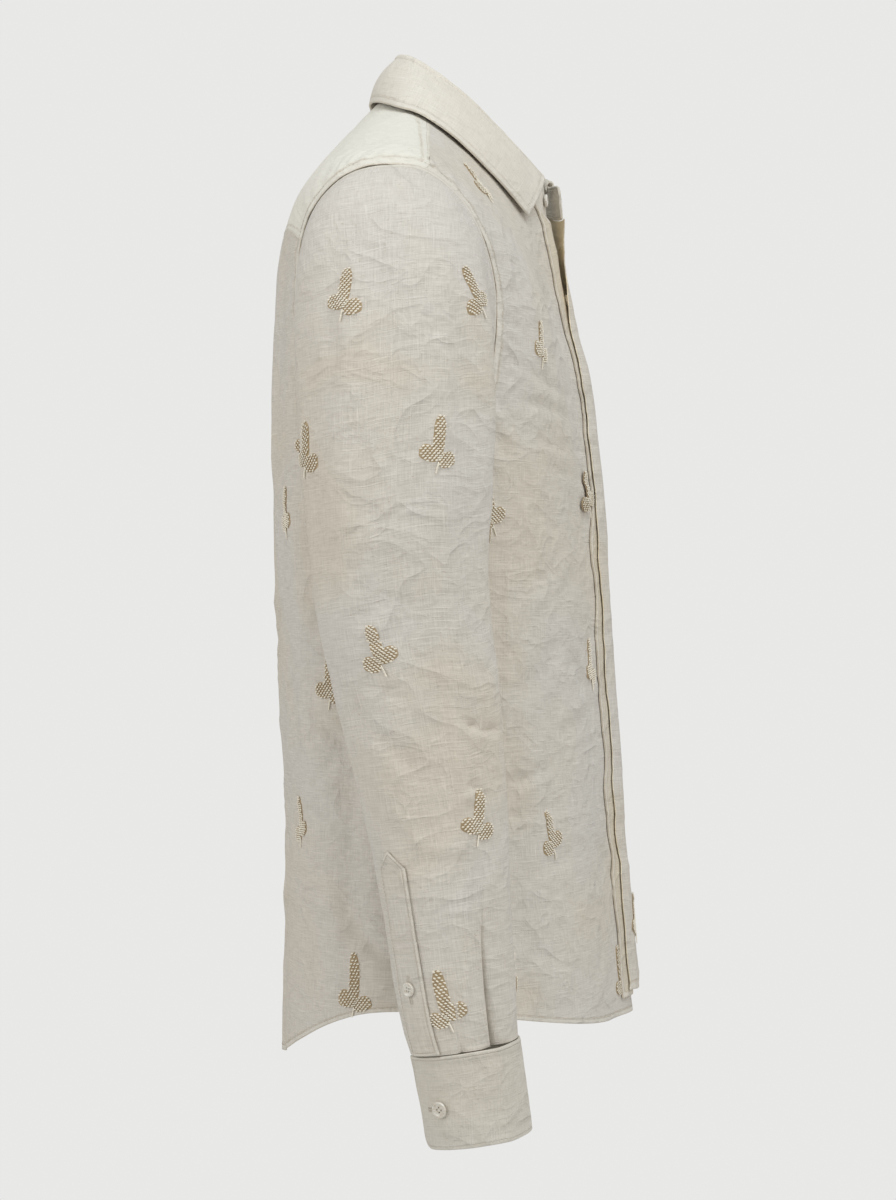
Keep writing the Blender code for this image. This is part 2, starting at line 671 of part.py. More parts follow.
def sleeve_placket(name, side, material):
    """The pointed strip over the sleeve's slit, moved out from the sleeve."""
    rings = np.concatenate([
        line(PLACKET_FOOT - 0.02, PLACKET_SHOULDER, PLACKET_ROWS), [PLACKET_POINT],
    ])
    share = (rings - PLACKET_POINT) / (PLACKET_FOOT - PLACKET_POINT)
    centre = PLACKET_ANGLE_HEAD + (PLACKET_ANGLE_FOOT - PLACKET_ANGLE_HEAD) * share
    radius = smooth_read(SLEEVE["half_depth"], rings - 1)
    half = np.degrees(PLACKET_HALF_WIDTH / radius)
    half[-1] *= 0.18
    across = np.linspace(-1, 1, PLACKET_COLUMNS + 1)[None, :]
    angle = centre[:, None] + half[:, None] * across
    ring = np.repeat(rings[:, None], PLACKET_COLUMNS + 1, axis=1)
    point, normal = sleeve_surface(angle, ring)
    outer = pull_in(point + normal * (PLY_GAP + CLOTH), SEAM_GAP / 2)
    inner = pull_in(point + normal * PLY_GAP, SEAM_GAP / 2)
    wall(name, mirrored(outer, side), mirrored(inner, side), material)


def seat(surface, angle, ring, rise, side=1):
    """Where a button lies on a surface: its middle and the way it faces."""
    point, normal = surface(np.array([float(angle)]), np.array([float(ring)]), np.array([rise]))
    flip = np.array([side, 1.0, 1.0])
    return Vector(point[0] * flip), Vector(normal[0] * flip)


def cuff_form(angle, share):
    """A point of the cuff: angle from its outer side, share 0 at the seam, 1 at the foot."""
    angle, share = np.broadcast_arrays(np.asarray(angle, float), np.asarray(share, float))
    top, foot = np.array(CUFF_TOP), np.array(CUFF_FOOT)
    size = top + (foot - top) * share[..., None]
    turn = np.radians(angle)
    x = size[..., 0] + size[..., 2] * np.cos(turn)
    y = size[..., 1] + size[..., 3] * np.sin(turn)
    z = CUFF_TOP_Z - CUFF_HEIGHT * share - (y - size[..., 1]) * CUFF_LEAN
    return np.stack([x, y, z], axis=-1)


def cuff_surface(angle, share, rise=0.0):
    """A point that far outside the cuff form, and its outward normal."""
    normal = outward(cuff_form, np.asarray(angle, float), np.asarray(share, float), 2.0, 0.02)
    return cuff_form(angle, share) + normal * np.asarray(rise, float)[..., None], normal


def corner_share(distance, radius):
    """How far a rounded corner cuts in at a distance from the end."""
    inside = np.clip(1 - distance / radius, 0.0, 1.0)
    return radius * (1 - np.sqrt(1 - inside**2))


def cuff(name, side, material):
    """The cuff band: its over end shows at the back, its under end lies inside."""
    angles = line(CUFF_END_ANGLE, CUFF_END_ANGLE - 360.0 - CUFF_LAP, CUFF_COLUMNS)
    passed = (CUFF_END_ANGLE - angles) / (360.0 + CUFF_LAP)
    sink = -CUFF_LAP_RISE * smooth_step(passed, 0.70, 0.885)
    length = np.radians(CUFF_END_ANGLE - angles) * CUFF_TOP[2]
    cut = corner_share(length, CUFF_CORNER) + corner_share(length[-1] - length, CUFF_CORNER)
    foot_share = 1 - cut / CUFF_HEIGHT
    shares = np.linspace(0, 1, CUFF_ROWS + 1)[:, None] * foot_share[None, :]
    angle = np.repeat(angles[None, :], CUFF_ROWS + 1, axis=0)
    point, normal = cuff_surface(angle, shares, np.repeat(sink[None, :], CUFF_ROWS + 1, axis=0))
    wall(name, mirrored(point, side), mirrored(point - normal * BAND, side), material)


def button(name, radius, thickness, place, material):
    """A round button with a raised rim, seated flat on the cloth."""
    mesh = bmesh.new()
    bmesh.ops.create_cone(mesh, cap_ends=True, segments=16, radius1=radius * 0.94,
                          radius2=radius, depth=thickness * 0.55)
    bmesh.ops.translate(mesh, verts=mesh.verts, vec=(0, 0, thickness * 0.275))
    top = max(mesh.faces, key=lambda face: face.calc_center_median().z)
    bmesh.ops.inset_individual(mesh, faces=[top], thickness=radius * 0.10)
    bmesh.ops.translate(mesh, verts=top.verts, vec=(0, 0, thickness * 0.45))
    bmesh.ops.inset_individual(mesh, faces=[top], thickness=radius * 0.22)
    bmesh.ops.translate(mesh, verts=top.verts, vec=(0, 0, -thickness * 0.30))
    middle, facing = place
    turn = Vector((0, 0, 1)).rotation_difference(facing).to_matrix().to_4x4()
    mesh.transform(Matrix.Translation(middle) @ turn)
    return finish(name, mesh, material, 35)


COLLAR = table(COLLAR_SECTIONS, COLLAR_COLUMNS)


def collar_lines(angle):
    """Fold line and lower edge of the collar at a signed angle from the centre front."""
    size = np.abs(angle)
    place = np.interp(size, COLLAR["angle"][::-1], np.arange(len(COLLAR_SECTIONS))[::-1])
    x, y, z, edge_angle, edge_ring = (
        smooth_read(COLLAR[name], place) for name in COLLAR_COLUMNS[1:]
    )
    front = np.clip(size / COLLAR_END, 0.0, 1.0)
    x, (front_y, front_z) = x * front, COLLAR_FRONT
    y = front_y + (y - front_y) * front
    z = front_z + (z - front_z) * front
    side = np.sign(angle)
    edge = body_surface(side * edge_angle, edge_ring, np.full_like(size, FALL_EDGE_RISE))[0]
    return np.stack([x * side, y, z], axis=-1), edge


def from_neck_axis(points):
    """Level unit directions from the neck's axis to the points."""
    away = points - np.array([*NECK_AXIS, 0.0])
    away[..., 2] = 0
    return away / np.linalg.norm(away, axis=-1, keepdims=True)


def lap_rise(angle, on_left):
    """How far the collar stands off at its left front, as the left front does below it."""
    neck = body_form(angle, np.zeros_like(angle))
    at_front = on_left & (neck[:, 1] < NECK_AXIS[1])
    return np.where(at_front, stand_off(neck[:, 0], 0.0), 0.0)


def collar_fall(material):
    """The turned-down part of the collar, folded over the top of the stand."""
    half = line(COLLAR_END, 180.0, FALL_COLUMNS // 2)
    angles = np.concatenate([-half, half[::-1][1:]])
    fold, edge = collar_lines(angles)
    edge[FALL_COLUMNS // 2, 0] = 0.0
    share = np.linspace(0, 1, FALL_ROWS + 1)[:, None, None]
    away = from_neck_axis(fold)
    lift = FALL_STANDOFF + lap_rise(angles, angles > 0)
    grid = (fold + away * lift[:, None])[None] * (1 - share) + edge[None] * share
    grid = grid + away[None] * FALL_BELLY * np.sin(np.pi * share)
    grid[..., 2] += FALL_BELLY * np.sin(np.pi * share[..., 0])
    along, down = np.gradient(grid, axis=1), np.gradient(grid, axis=0)
    normal = np.cross(along, down)
    normal /= np.linalg.norm(normal, axis=-1, keepdims=True)
    normal *= np.sign(normal[2, FALL_COLUMNS // 2, 1])
    wall("collar_fall", grid + normal * BAND, grid, material)


def stand_grid():
    """Outer points of the collar stand, from its right end round to its left end."""
    start = angle_at_x(right_edge_x(0.0), 0.0)
    stop = angle_at_x(left_edge_x(0.0), 0.0)
    angles = line(start, stop - 360.0, STAND_COLUMNS)
    folded = (angles + 180.0) % 360.0 - 180.0
    rise = lap_rise(folded, np.arange(len(angles)) > STAND_COLUMNS // 2)
    foot = body_surface(angles, np.zeros_like(angles), rise)[0]
    foot = foot + np.array([0.0, 0.0, SEAM_GAP])
    fold = collar_lines(folded)[0]
    away = from_neck_axis(foot)
    fold = fold + away * (rise - STAND_INSET)[:, None]
    length = np.concatenate([[0.0], np.cumsum(np.linalg.norm(np.diff(foot, axis=0), axis=1))])
    cut = corner_share(length, STAND_CORNER) + corner_share(length[-1] - length, STAND_CORNER)
    reach = 1 - cut / np.linalg.norm(fold - foot, axis=1)
    share = np.linspace(0, 1, STAND_ROWS + 1)[:, None, None] * reach[None, :, None]
    return foot[None] * (1 - share) + fold[None] * share, away[None]


def collar_stand(material):
    """The upright band on the neck seam. Its left end stands off over its right end."""
    grid, away = stand_grid()
    wall("collar_stand", grid, grid - away * BAND, material)


def collar_button_seat():
    """The stand button's place, on the outside of the stand's right end."""
    angle = np.array([COLLAR_BUTTON_ANGLE])
    foot, fold = body_surface(angle, np.zeros(1))[0], collar_lines(angle)[0]
    away = from_neck_axis(foot)
    middle = foot * 0.5 + fold * 0.5 + away * SEAM_GAP
    return Vector(middle[0]), Vector(away[0])


def ring_at_height(height):
    """Ring at which the centre front reaches a height."""
    rings = np.linspace(0.0, 8.0, 161)
    return np.interp(-height, -smooth_read(RINGS["z_front"], rings), rings)


for thing in list(bpy.data.objects):
    bpy.data.objects.remove(thing)
SHIRT = bpy.data.collections.new("shirt")
bpy.context.scene.collection.children.link(SHIRT)

LINEN = cloth_material("linen", (0.80, 0.77, 0.70), 0.85)
BAND_LINEN = cloth_material("band_linen", (0.82, 0.78, 0.69), 0.85)
SHELL = cloth_material("button_shell", (0.78, 0.73, 0.64), 0.35)


def build():
    """Makes every piece of the shirt."""
    front_panel("front_right", -1, LINEN)
    front_panel("front_left", 1, LINEN)
    back_panel(LINEN)
    yoke_panel(LINEN)
    fly_strip(LINEN)
    for number, height in enumerate(FLY_BUTTON_Z, 1):
        ring = ring_at_height(height)
        angle = angle_at_x(FLY_BUTTON_X, ring)
        place = seat(body_surface, angle, ring, STRIP_OUTER + SEAM_GAP)
        button(f"fly_button_{number}", FLY_BUTTON_R, FLY_BUTTON_T, place, SHELL)
    for word, side in (("right", -1), ("left", 1)):
        sleeve(f"sleeve_{word}", side, LINEN)
        sleeve_placket(f"sleeve_placket_{word}", side, LINEN)
        place = seat(sleeve_surface, *GUARD_BUTTON, PLY_GAP + CLOTH + SEAM_GAP, side)
        button(f"guard_button_{word}", GUARD_BUTTON_R, BUTTON_T, place, SHELL)
        cuff(f"cuff_{word}", side, BAND_LINEN)
        place = seat(cuff_surface, *CUFF_BUTTON, SEAM_GAP, side)
        button(f"cuff_button_{word}", CUFF_BUTTON_R, BUTTON_T, place, SHELL)
    collar_stand(BAND_LINEN)
    collar_fall(BAND_LINEN)
    button("collar_button", COLLAR_BUTTON_R, BUTTON_T, collar_button_seat(), SHELL)


build()
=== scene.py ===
import math

import bmesh
import bpy
import numpy as np
from mathutils import Matrix, Vector, geometry, noise


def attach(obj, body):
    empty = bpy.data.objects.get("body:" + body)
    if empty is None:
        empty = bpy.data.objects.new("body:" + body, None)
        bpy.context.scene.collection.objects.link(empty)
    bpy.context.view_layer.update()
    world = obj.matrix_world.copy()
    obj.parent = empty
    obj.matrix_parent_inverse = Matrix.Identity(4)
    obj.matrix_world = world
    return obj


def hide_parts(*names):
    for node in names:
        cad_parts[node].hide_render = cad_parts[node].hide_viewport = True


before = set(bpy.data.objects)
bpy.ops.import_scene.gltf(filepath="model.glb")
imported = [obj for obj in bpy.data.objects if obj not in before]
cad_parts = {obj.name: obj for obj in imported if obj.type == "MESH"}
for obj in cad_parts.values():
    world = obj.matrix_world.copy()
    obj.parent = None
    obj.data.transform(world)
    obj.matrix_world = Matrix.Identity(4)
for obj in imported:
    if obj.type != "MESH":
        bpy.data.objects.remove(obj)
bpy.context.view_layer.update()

# The worn body: rings from the neck seam (0) down to the hem (8)
body = {
    "sideY": 0.014,
    "keelWidth": 0.038,
    "frontDrop": 1.5,
    "backDrop": 2.0,
    "columns": ("half", "front", "back", "frontZ", "sideZ", "backZ",
                "frontSquare", "backSquare", "keel"),
    "rows": (
        (0.067, -0.090, 0.036, -0.088, -0.004, 0.006, 2.0, 2.0, 0.006),
        (0.118, -0.092, 0.059, -0.113, -0.026, -0.022, 2.0, 2.2, 0.010),
        (0.170, -0.095, 0.084, -0.141, -0.049, -0.056, 2.1, 2.6, 0.012),
        (0.213, -0.101, 0.104, -0.176, -0.074, -0.100, 2.2, 3.0, 0.013),
        (0.214, -0.111, 0.113, -0.216, -0.140, -0.156, 2.2, 3.2, 0.014),
        (0.207, -0.118, 0.117, -0.286, -0.276, -0.281, 2.2, 3.0, 0.014),
        (0.196, -0.128, 0.1135, -0.430, -0.430, -0.430, 2.2, 2.7, 0.014),
        (0.198, -0.137, 0.109, -0.560, -0.560, -0.560, 2.2, 2.6, 0.014),
        (0.206, -0.149, 0.112, -0.706, -0.678, -0.730, 2.2, 2.6, 0.014),
    ),
    # angle, first ring, last ring, drift, half width in degrees, depth in mm
    "folds": (
        (-62.0, 5.6, 8.6, 6.0, 7.0, 4.5), (-38.0, 5.2, 7.8, -8.0, 6.0, 3.0),
        (-112.0, 4.2, 8.6, 5.0, 8.0, 5.0), (-136.0, 3.6, 7.6, 8.0, 7.0, -3.5),
        (-158.0, 5.4, 8.8, -4.0, 7.0, 3.5), (175.0, 5.8, 8.8, 4.0, 8.0, 3.0),
        (150.0, 4.4, 8.4, 6.0, 8.0, 4.5), (121.0, 4.6, 8.6, -5.0, 8.0, 4.5),
        (60.0, 5.4, 8.6, 5.0, 7.0, 4.5), (36.0, 5.8, 8.2, -6.0, 6.0, 3.0),
    ),
}
# The armhole line: rings of its top and foot, and degrees that it runs into the body
armhole = {"top": 3.0, "foot": 5.0, "intoFront": 30.0, "intoBack": 41.0,
           "frontPower": 0.6, "backPower": 1.0, "yokeFront": 6.0, "yokeBack": 75.5,
           "neckAngle": 79.0, "yokeDrop": 3.2, "middleY": 0.0170, "halfDepth": 0.0720}
# The front opening in metres. "cloth" and "ply" are the CAD wall and the finished cloth.
closure = {"cloth": 0.0012, "ply": 0.0007, "room": 0.0038, "rightEdge": (0.008, 0.020),
           "flare": 0.0070, "flareAcross": (-0.012, 0.030), "flareDown": (0.0, 1.3),
           "ramp": (0.027, 0.062), "leftLift": 0.026, "stripLift": 0.020, "stripFar": 0.010,
           "edgeSink": 0.0030}
closure["stripOuter"] = closure["ply"] + closure["cloth"]
closure["rise"] = closure["stripOuter"] + closure["room"] + closure["cloth"]
# The left sleeve: rings from the armhole down to the wrist. The right one mirrors it.
sleeve = {
    "columns": ("outX", "outZ", "inX", "inZ", "midY", "depth", "lean"),
    "rows": (
        (0.243, -0.087, 0.2115, -0.2800, 0.0200, 0.0685, 0.00),
        (0.269, -0.115, 0.2125, -0.2845, 0.0195, 0.0695, 0.00),
        (0.287, -0.157, 0.2125, -0.2900, 0.0185, 0.0700, 0.00),
        (0.298, -0.215, 0.2125, -0.2970, 0.0178, 0.0690, 0.00),
        (0.304, -0.304, 0.2125, -0.3040, 0.0178, 0.0660, 0.00),
        (0.302, -0.358, 0.2090, -0.3580, 0.0151, 0.0620, 0.02),
        (0.300, -0.412, 0.2060, -0.4120, 0.0100, 0.0605, 0.05),
        (0.297, -0.481, 0.2060, -0.4810, -0.0014, 0.0546, 0.10),
        (0.294, -0.550, 0.2075, -0.5500, -0.0125, 0.0480, 0.13),
        (0.292, -0.612, 0.2110, -0.6120, -0.0185, 0.0436, 0.15),
        (0.291, -0.664, 0.2155, -0.6640, -0.0245, 0.0405, 0.16),
        (0.2895, -0.6935, 0.2175, -0.6935, -0.0290, 0.0375, 0.16),
    ),
    "egg": (1.0, 0.55, 0.25, 0.08),
    "square": 2.15,
    "folds": (
        (-62.0, 2.6, 7.2, 14.0, 17.0, 3.0), (62.0, 2.2, 7.0, -6.0, 17.0, 5.0),
        (8.0, 5.6, 8.4, -34.0, 13.0, 2.6), (-18.0, 7.2, 9.6, 30.0, 13.0, 2.6),
        (95.0, 6.4, 9.4, 20.0, 16.0, 3.5), (-100.0, 5.8, 8.6, -24.0, 16.0, 3.5),
        (150.0, 4.4, 8.6, 10.0, 18.0, 4.0), (-30.0, 9.6, 13.2, 0.0, 9.0, 3.4),
    ),
}


def readTable(rows, names):
    return {name: np.array([row[i] for row in rows]) for i, name in enumerate(names)}


# Catmull-Rom blend of four neighbouring values
def blended(before, first, second, after, part):
    return first + 0.5 * part * (
        second - before + part * (2 * before - 5 * first + 4 * second - after
                                  + part * (3 * (first - second) + after - before)))


# Smooth reading of evenly numbered values
def smoothRead(values, at):
    values = np.asarray(values, float)
    last = len(values) - 1
    at = np.clip(at, 0.0, last)
    low = np.minimum(np.floor(at).astype(int), last - 1)
    part = at - low
    before, first = values[np.maximum(low - 1, 0)], values[low]
    second, after = values[low + 1], values[np.minimum(low + 2, last)]
    return blended(before, first, second, after, part)


def smoothStep(value, low, high):
    share = np.clip((value - low) / (high - low), 0.0, 1.0)
    return share * share * (3 - 2 * share)


# Broad folds: how far the cloth sinks at an angle and ring. Each fades in and out.
def foldDepth(rows, angle, ring):
    depth = np.zeros_like(angle)
    for middle, start, end, drift, halfWidth, deep in rows:
        share = (ring - start) / (end - start)
        away = (angle - middle - drift * share + 180.0) % 360.0 - 180.0
        along = smoothStep(share, 0.0, 0.45) * (1 - smoothStep(share, 0.72, 1.0))
        depth += deep * 0.001 * np.exp(-((away / halfWidth) ** 2)) * along
    return depth


rings = readTable(body["rows"], body["columns"])
ringSteps = np.arange(len(body["rows"]), dtype=float)
ringLengths = np.concatenate([[0.0], np.cumsum(np.hypot(
    np.diff(rings["half"]), np.diff((rings["sideZ"] + rings["backZ"]) / 2)))])
hemStep = ringLengths[-1] - ringLengths[-2]


# A point of the plain body at an angle (0 front, 90 left side, 180 back) and a ring
def bodyForm(angle, ring):
    read = {name: smoothRead(column, ring) for name, column in rings.items()}
    turn = np.radians(angle)
    sine, cosine = np.sin(turn), np.cos(turn)
    atFront = cosine > 0
    square = np.where(atFront, read["frontSquare"], read["backSquare"])
    depth = np.where(atFront, read["front"], read["back"]) - body["sideY"]
    x = read["half"] * np.sign(sine) * np.abs(sine) ** (2 / square)
    y = body["sideY"] + depth * np.abs(cosine) ** (2 / square)
    y = y - np.where(atFront, read["keel"] * np.exp(-((x / body["keelWidth"]) ** 2)), 0.0)
    endZ = np.where(atFront, read["frontZ"], read["backZ"])
    power = np.where(atFront, body["frontDrop"], body["backDrop"])
    z = read["sideZ"] + (endZ - read["sideZ"]) * np.abs(cosine) ** power
    return np.stack([x, y, z], axis=-1)


# The outward normal of a form, from its slopes
def outwardOf(form, angle, ring, stepAngle=0.6, stepRing=0.02):
    along = form(angle + stepAngle, ring) - form(angle - stepAngle, ring)
    down = form(angle, ring + stepRing) - form(angle, ring - stepRing)
    normal = np.cross(down, along)
    return normal / np.maximum(np.linalg.norm(normal, axis=-1, keepdims=True), 1e-12)


# The body with its broad folds, as points and normals
def bodySurface(angle, ring, rise=0.0):
    angle, ring = np.broadcast_arrays(np.asarray(angle, float), np.asarray(ring, float))
    normal = outwardOf(bodyForm, angle, np.clip(ring, 0.03, 7.97))
    sink = foldDepth(body["folds"], angle, ring)
    return bodyForm(angle, ring) + normal * (rise - sink)[..., None], normal


# Angle and ring of the armhole line, from 0 at the shoulder to 180 under the arm.
# Side is 1 for its front half and -1 for its back half.
def armholeAt(turn, side):
    swing = np.radians(turn)
    middle = (armhole["top"] + armhole["foot"]) / 2
    ring = middle - (armhole["foot"] - armhole["top"]) / 2 * np.cos(swing)
    sine = np.clip(np.sin(swing), 0.0, 1.0)
    if side > 0:
        return 90.0 - armhole["intoFront"] * sine ** armhole["frontPower"], ring
    return 90.0 + armhole["intoBack"] * sine ** armhole["backPower"], ring


# Angle of the body at a distance across its front
def angleAtX(x, ring):
    half, square = smoothRead(rings["half"], ring), smoothRead(rings["frontSquare"], ring)
    share = np.clip(np.abs(x) / half, 0.0, 0.98)
    return np.sign(x) * np.degrees(np.arcsin(share ** (square / 2)))


# How far across the front the free edges lie: right front, left front, strip
def rightEdgeX(ring):
    neck, below = closure["rightEdge"]
    return neck + (below - neck) * smoothStep(ring, 0.0, 1.5)


def leftEdgeX(ring):
    wave = 0.0012 * np.sin(ring * 9.0) + 0.0008 * np.sin(ring * 21.0 + 1.0)
    return -0.004 - 0.019 * smoothStep(ring, 0.4, 4.0) + wave * smoothStep(ring, 3.0, 4.5)


def stripEdgeX(ring):
    gape = 0.022 * (1 - smoothStep(ring, 0.6, 4.4)) + 0.009 * smoothStep(ring, 4.9, 6.0)
    wave = 0.0015 * np.sin(ring * 13.0 + 0.5) * smoothStep(ring, 4.6, 5.4)
    return leftEdgeX(ring) - 0.003 - gape - wave


# How far the left front and the collar's left end stand off the body, over the buttons
def standOff(x, ring):
    flare = closure["flare"] * (1 - smoothStep(x, *closure["flareAcross"]))
    flare = flare * (1 - smoothStep(ring, *closure["flareDown"]))
    return closure["rise"] * (1 - smoothStep(x, *closure["ramp"])) + flare


sleeveRings = readTable(sleeve["rows"], sleeve["columns"])


# Angle from the top (back positive), reach and place of points round the armhole
def armholeLoop(steps=120):
    turns = np.linspace(0.0, 180.0, steps + 1)
    front, back = armholeAt(turns[::-1], 1), armholeAt(turns[1:-1], -1)
    loop = bodySurface(np.concatenate([front[0], back[0]]), np.concatenate([front[1], back[1]]))[0]
    topZ, footZ = loop[:, 2].max(), loop[:, 2].min()
    across = (loop[:, 1] - armhole["middleY"]) / armhole["halfDepth"]
    upward = (loop[:, 2] - (topZ + footZ) / 2) / ((topZ - footZ) / 2)
    angle = np.degrees(np.arctan2(across, upward))
    order = np.argsort(angle)
    return angle[order], np.hypot(across, upward)[order], loop[order]


loopAngle, loopReach, loopPoint = armholeLoop()


# A point of the left sleeve at an angle from its outer side (back positive)
def sleeveForm(angle, ring):
    at = (angle + 180.0) % 360.0 - 180.0
    reach = np.interp(at, loopAngle, loopReach, period=360.0)
    start = [np.interp(at, loopAngle, loopPoint[:, i], period=360.0) for i in range(3)]
    turn, power = np.radians(angle), 2 / sleeve["square"]
    across = np.sign(np.sin(turn)) * np.abs(np.sin(turn)) ** power
    upward = np.sign(np.cos(turn)) * np.abs(np.cos(turn)) ** power
    stack = [np.stack(start, axis=-1)]
    for i in range(len(sleeve["rows"])):
        row = {name: column[i] for name, column in sleeveRings.items()}
        egg = sleeve["egg"][i + 1] if i + 1 < len(sleeve["egg"]) else 0.0
        wide = 1 + (reach - 1) * egg
        y = row["midY"] + row["depth"] * across * wide
        x = (row["outX"] + row["inX"]) / 2 + (row["outX"] - row["inX"]) / 2 * upward * wide
        z = (row["outZ"] + row["inZ"]) / 2 + (row["outZ"] - row["inZ"]) / 2 * upward * wide
        stack.append(np.stack([x, y, z - (y - row["midY"]) * row["lean"]], axis=-1))
    stack = np.stack(stack)
    last = len(stack) - 1
    ring = np.clip(ring, 0.0, last)
    low = np.minimum(np.floor(ring).astype(int), last - 1)
    part = (ring - low)[..., None]
    index = np.indices(low.shape)
    near = [stack[(np.clip(low + step, 0, last), *index)] for step in (-1, 0, 1, 2)]
    return blended(*near, part)


def sleeveSurface(angle, ring):
    angle, ring = np.broadcast_arrays(np.asarray(angle, float), np.asarray(ring, float))
    normal = outwardOf(sleeveForm, angle, np.clip(ring, 0.05, 11.95), 2.0, 0.05)
    sink = foldDepth(sleeve["folds"], angle, ring)
    return sleeveForm(angle, ring) - normal * sink[..., None], normal


print("forms ready")

# Creases. Each runs from one point to another in millimetres, with a
# bow at its middle, a half width and a depth. A depth below zero is a ridge.
creases = {
    "sleeve": (
        (71, -169, 75, -247, 2, 6, 2.6), (48, -121, 85, -182, 4, 8, 1.8),
        (16, -111, 1, -261, 1, 5, -1.7), (1, -261, -16, -411, -1, 5, -1.9),
        (-16, -411, -34, -562, 1, 5, -1.8), (12, -117, -7, -384, 0, 7, 0.7),
        (-33, -436, -55, -422, 2, 4, 1.7), (-28, -476, -56, -482, -2, 3, 2.6),
        (-32, -499, -55, -504, 2, 3.5, 1.6), (34, -521, 8, -551, 3, 4, -1.6),
        (8, -551, -41, -556, -3, 4, -1.3), (25, -483, -6, -514, 3, 5, 1.5),
        (56, -384, 18, -373, 2, 4, 0.9), (63, -302, 27, -331, 3, 5, 0.9),
        (18, -210, -21, -214, 1, 3, 0.6), (53, -422, 24, -417, -2, 3, 1.0),
        (-33, -575, -39, -651, 1, 4, 1.3), (-23, -589, -28, -685, 0, 4, 0.9),
        (63, -357, 48, -399, 3, 6, 1.3), (52, -452, 39, -495, 2, 5, 1.4),
        (-32, -155, -38, -247, 2, 5, 1.3), (-13, -179, -21, -281, 2, 6, 0.8),
        (-4, -452, -33, -446, -2, 3, 0.8), (28, -452, 1, -463, 2, 4, 0.9),
        (15, -592, -21, -610, 2, 3, 0.7),
    ),
    "side": (
        (-79, -216, -113, -229, 2, 4, 1.1), (-78, -239, -118, -248, -2, 4, 1.2),
        (-83, -265, -122, -269, 2, 3.5, 1.1), (-90, -287, -125, -293, -1, 3.5, 0.9),
        (-57, -231, -87, -243, 2, 4, 0.9), (-60, -517, -92, -505, 3, 4, 2.0),
        (-57, -544, -103, -539, -2, 3.5, 1.3), (-98, -475, -134, -450, 3, 4, -1.1),
        (-64, -458, -101, -414, 4, 6, 1.0), (-60, -384, -101, -354, 3, 5, 0.9),
        (-72, -592, -124, -570, -3, 5, 0.9), (-68, -630, -109, -652, 3, 5, 0.9),
        (-63, -324, -60, -503, 1, 3, -0.7), (-54, -116, -72, -110, 1, 2.5, 0.6),
        (-57, -138, -72, -137, 1, 2.5, 0.7), (-57, -161, -73, -161, -1, 2.5, 0.7),
        (-56, -183, -72, -186, 1, 2.5, 0.7), (-55, -209, -73, -214, 1, 3, 0.8),
        (-87, -123, -101, -183, 2, 5, 0.9), (-72, -302, -116, -339, 4, 6, 0.8),
        (-101, -384, -131, -354, -3, 5, 0.8), (72, -476, 55, -489, 2, 4, 2.1),
        (69, -502, 55, -497, -2, 3.5, 1.6), (95, -520, 70, -506, 3, 5, 1.3),
        (88, -413, 66, -384, 3, 6, 1.1), (99, -355, 77, -384, 3, 5, 1.1),
        (56, -609, 20, -645, 3, 6, 1.8), (97, -670, 87, -677, 1, 4, 1.0),
        (88, -599, 59, -577, -3, 5, 1.1), (81, -627, 51, -599, 3, 5, 0.9),
        (95, -280, 88, -327, 2, 4, 0.9), (91, -205, 84, -262, 2, 5, 1.0),
    ),
    # Seen from the front: across, up
    "front": (
        (-96, -132, -40, -196, 5, 8, 1.4), (-140, -150, -118, -246, 4, 7, 1.2),
        (-60, -300, -28, -352, 4, 6, 1.0), (-120, -420, -52, -468, 5, 7, 1.2),
        (-84, -560, -30, -600, 4, 6, 1.1), (92, -128, 44, -204, -5, 8, 1.4),
        (138, -156, 112, -238, 4, 7, 1.2), (66, -262, 30, -300, 4, 6, 1.1),
        (120, -352, 58, -392, -4, 6, 1.1), (72, -470, 124, -512, 5, 7, 1.2),
        (40, -552, 96, -590, 3, 6, 1.0), (132, -600, 98, -648, 4, 6, 1.1),
        (36, -402, 64, -446, 3, 5, -0.8), (-70, -640, -110, -672, 4, 6, 0.9),
    ),
    # Seen from the back: across, up
    "back": (
        (-150, -150, -104, -292, 6, 10, 2.2), (142, -160, 96, -306, -6, 10, 2.2),
        (-66, -210, -30, -330, 4, 9, 1.1), (58, -236, 40, -344, -4, 9, 1.1),
        (-120, -392, -30, -424, 6, 7, 1.3), (24, -446, 118, -410, -5, 7, 1.3),
        (-140, -500, -70, -548, 5, 7, 1.5), (40, -520, 120, -566, 5, 8, 1.4),
        (-96, -604, -20, -652, 6, 7, 1.2), (10, -600, 66, -668, 4, 7, 1.1),
        (-28, -132, 22, -140, 3, 5, 0.7), (128, -640, 92, -700, 3, 6, 1.1),
    ),
}


# Depth of the named creases, and the fainter waves and net of ridges between them.
# Waves: height in metres, scale and seed. Patches: middle, spread, lowest and highest.
creaseLook = {"deep": 0.0017, "ridges": 17.0, "ridgeHigh": 0.0007, "ridgeSeed": 15.0,
              "waves": ((0.0014, 13.0, 3.0), (0.0006, 38.0, 8.0)),
              "patches": (0.55, 1.5, 0.12, 1.25), "patchScale": 5.5, "patchSeed": 21.0,
              "tilt": np.array([[1.0, 0.0, 0.5], [0.0, 0.75, 0.9], [0.0, -0.45, 1.25]])}


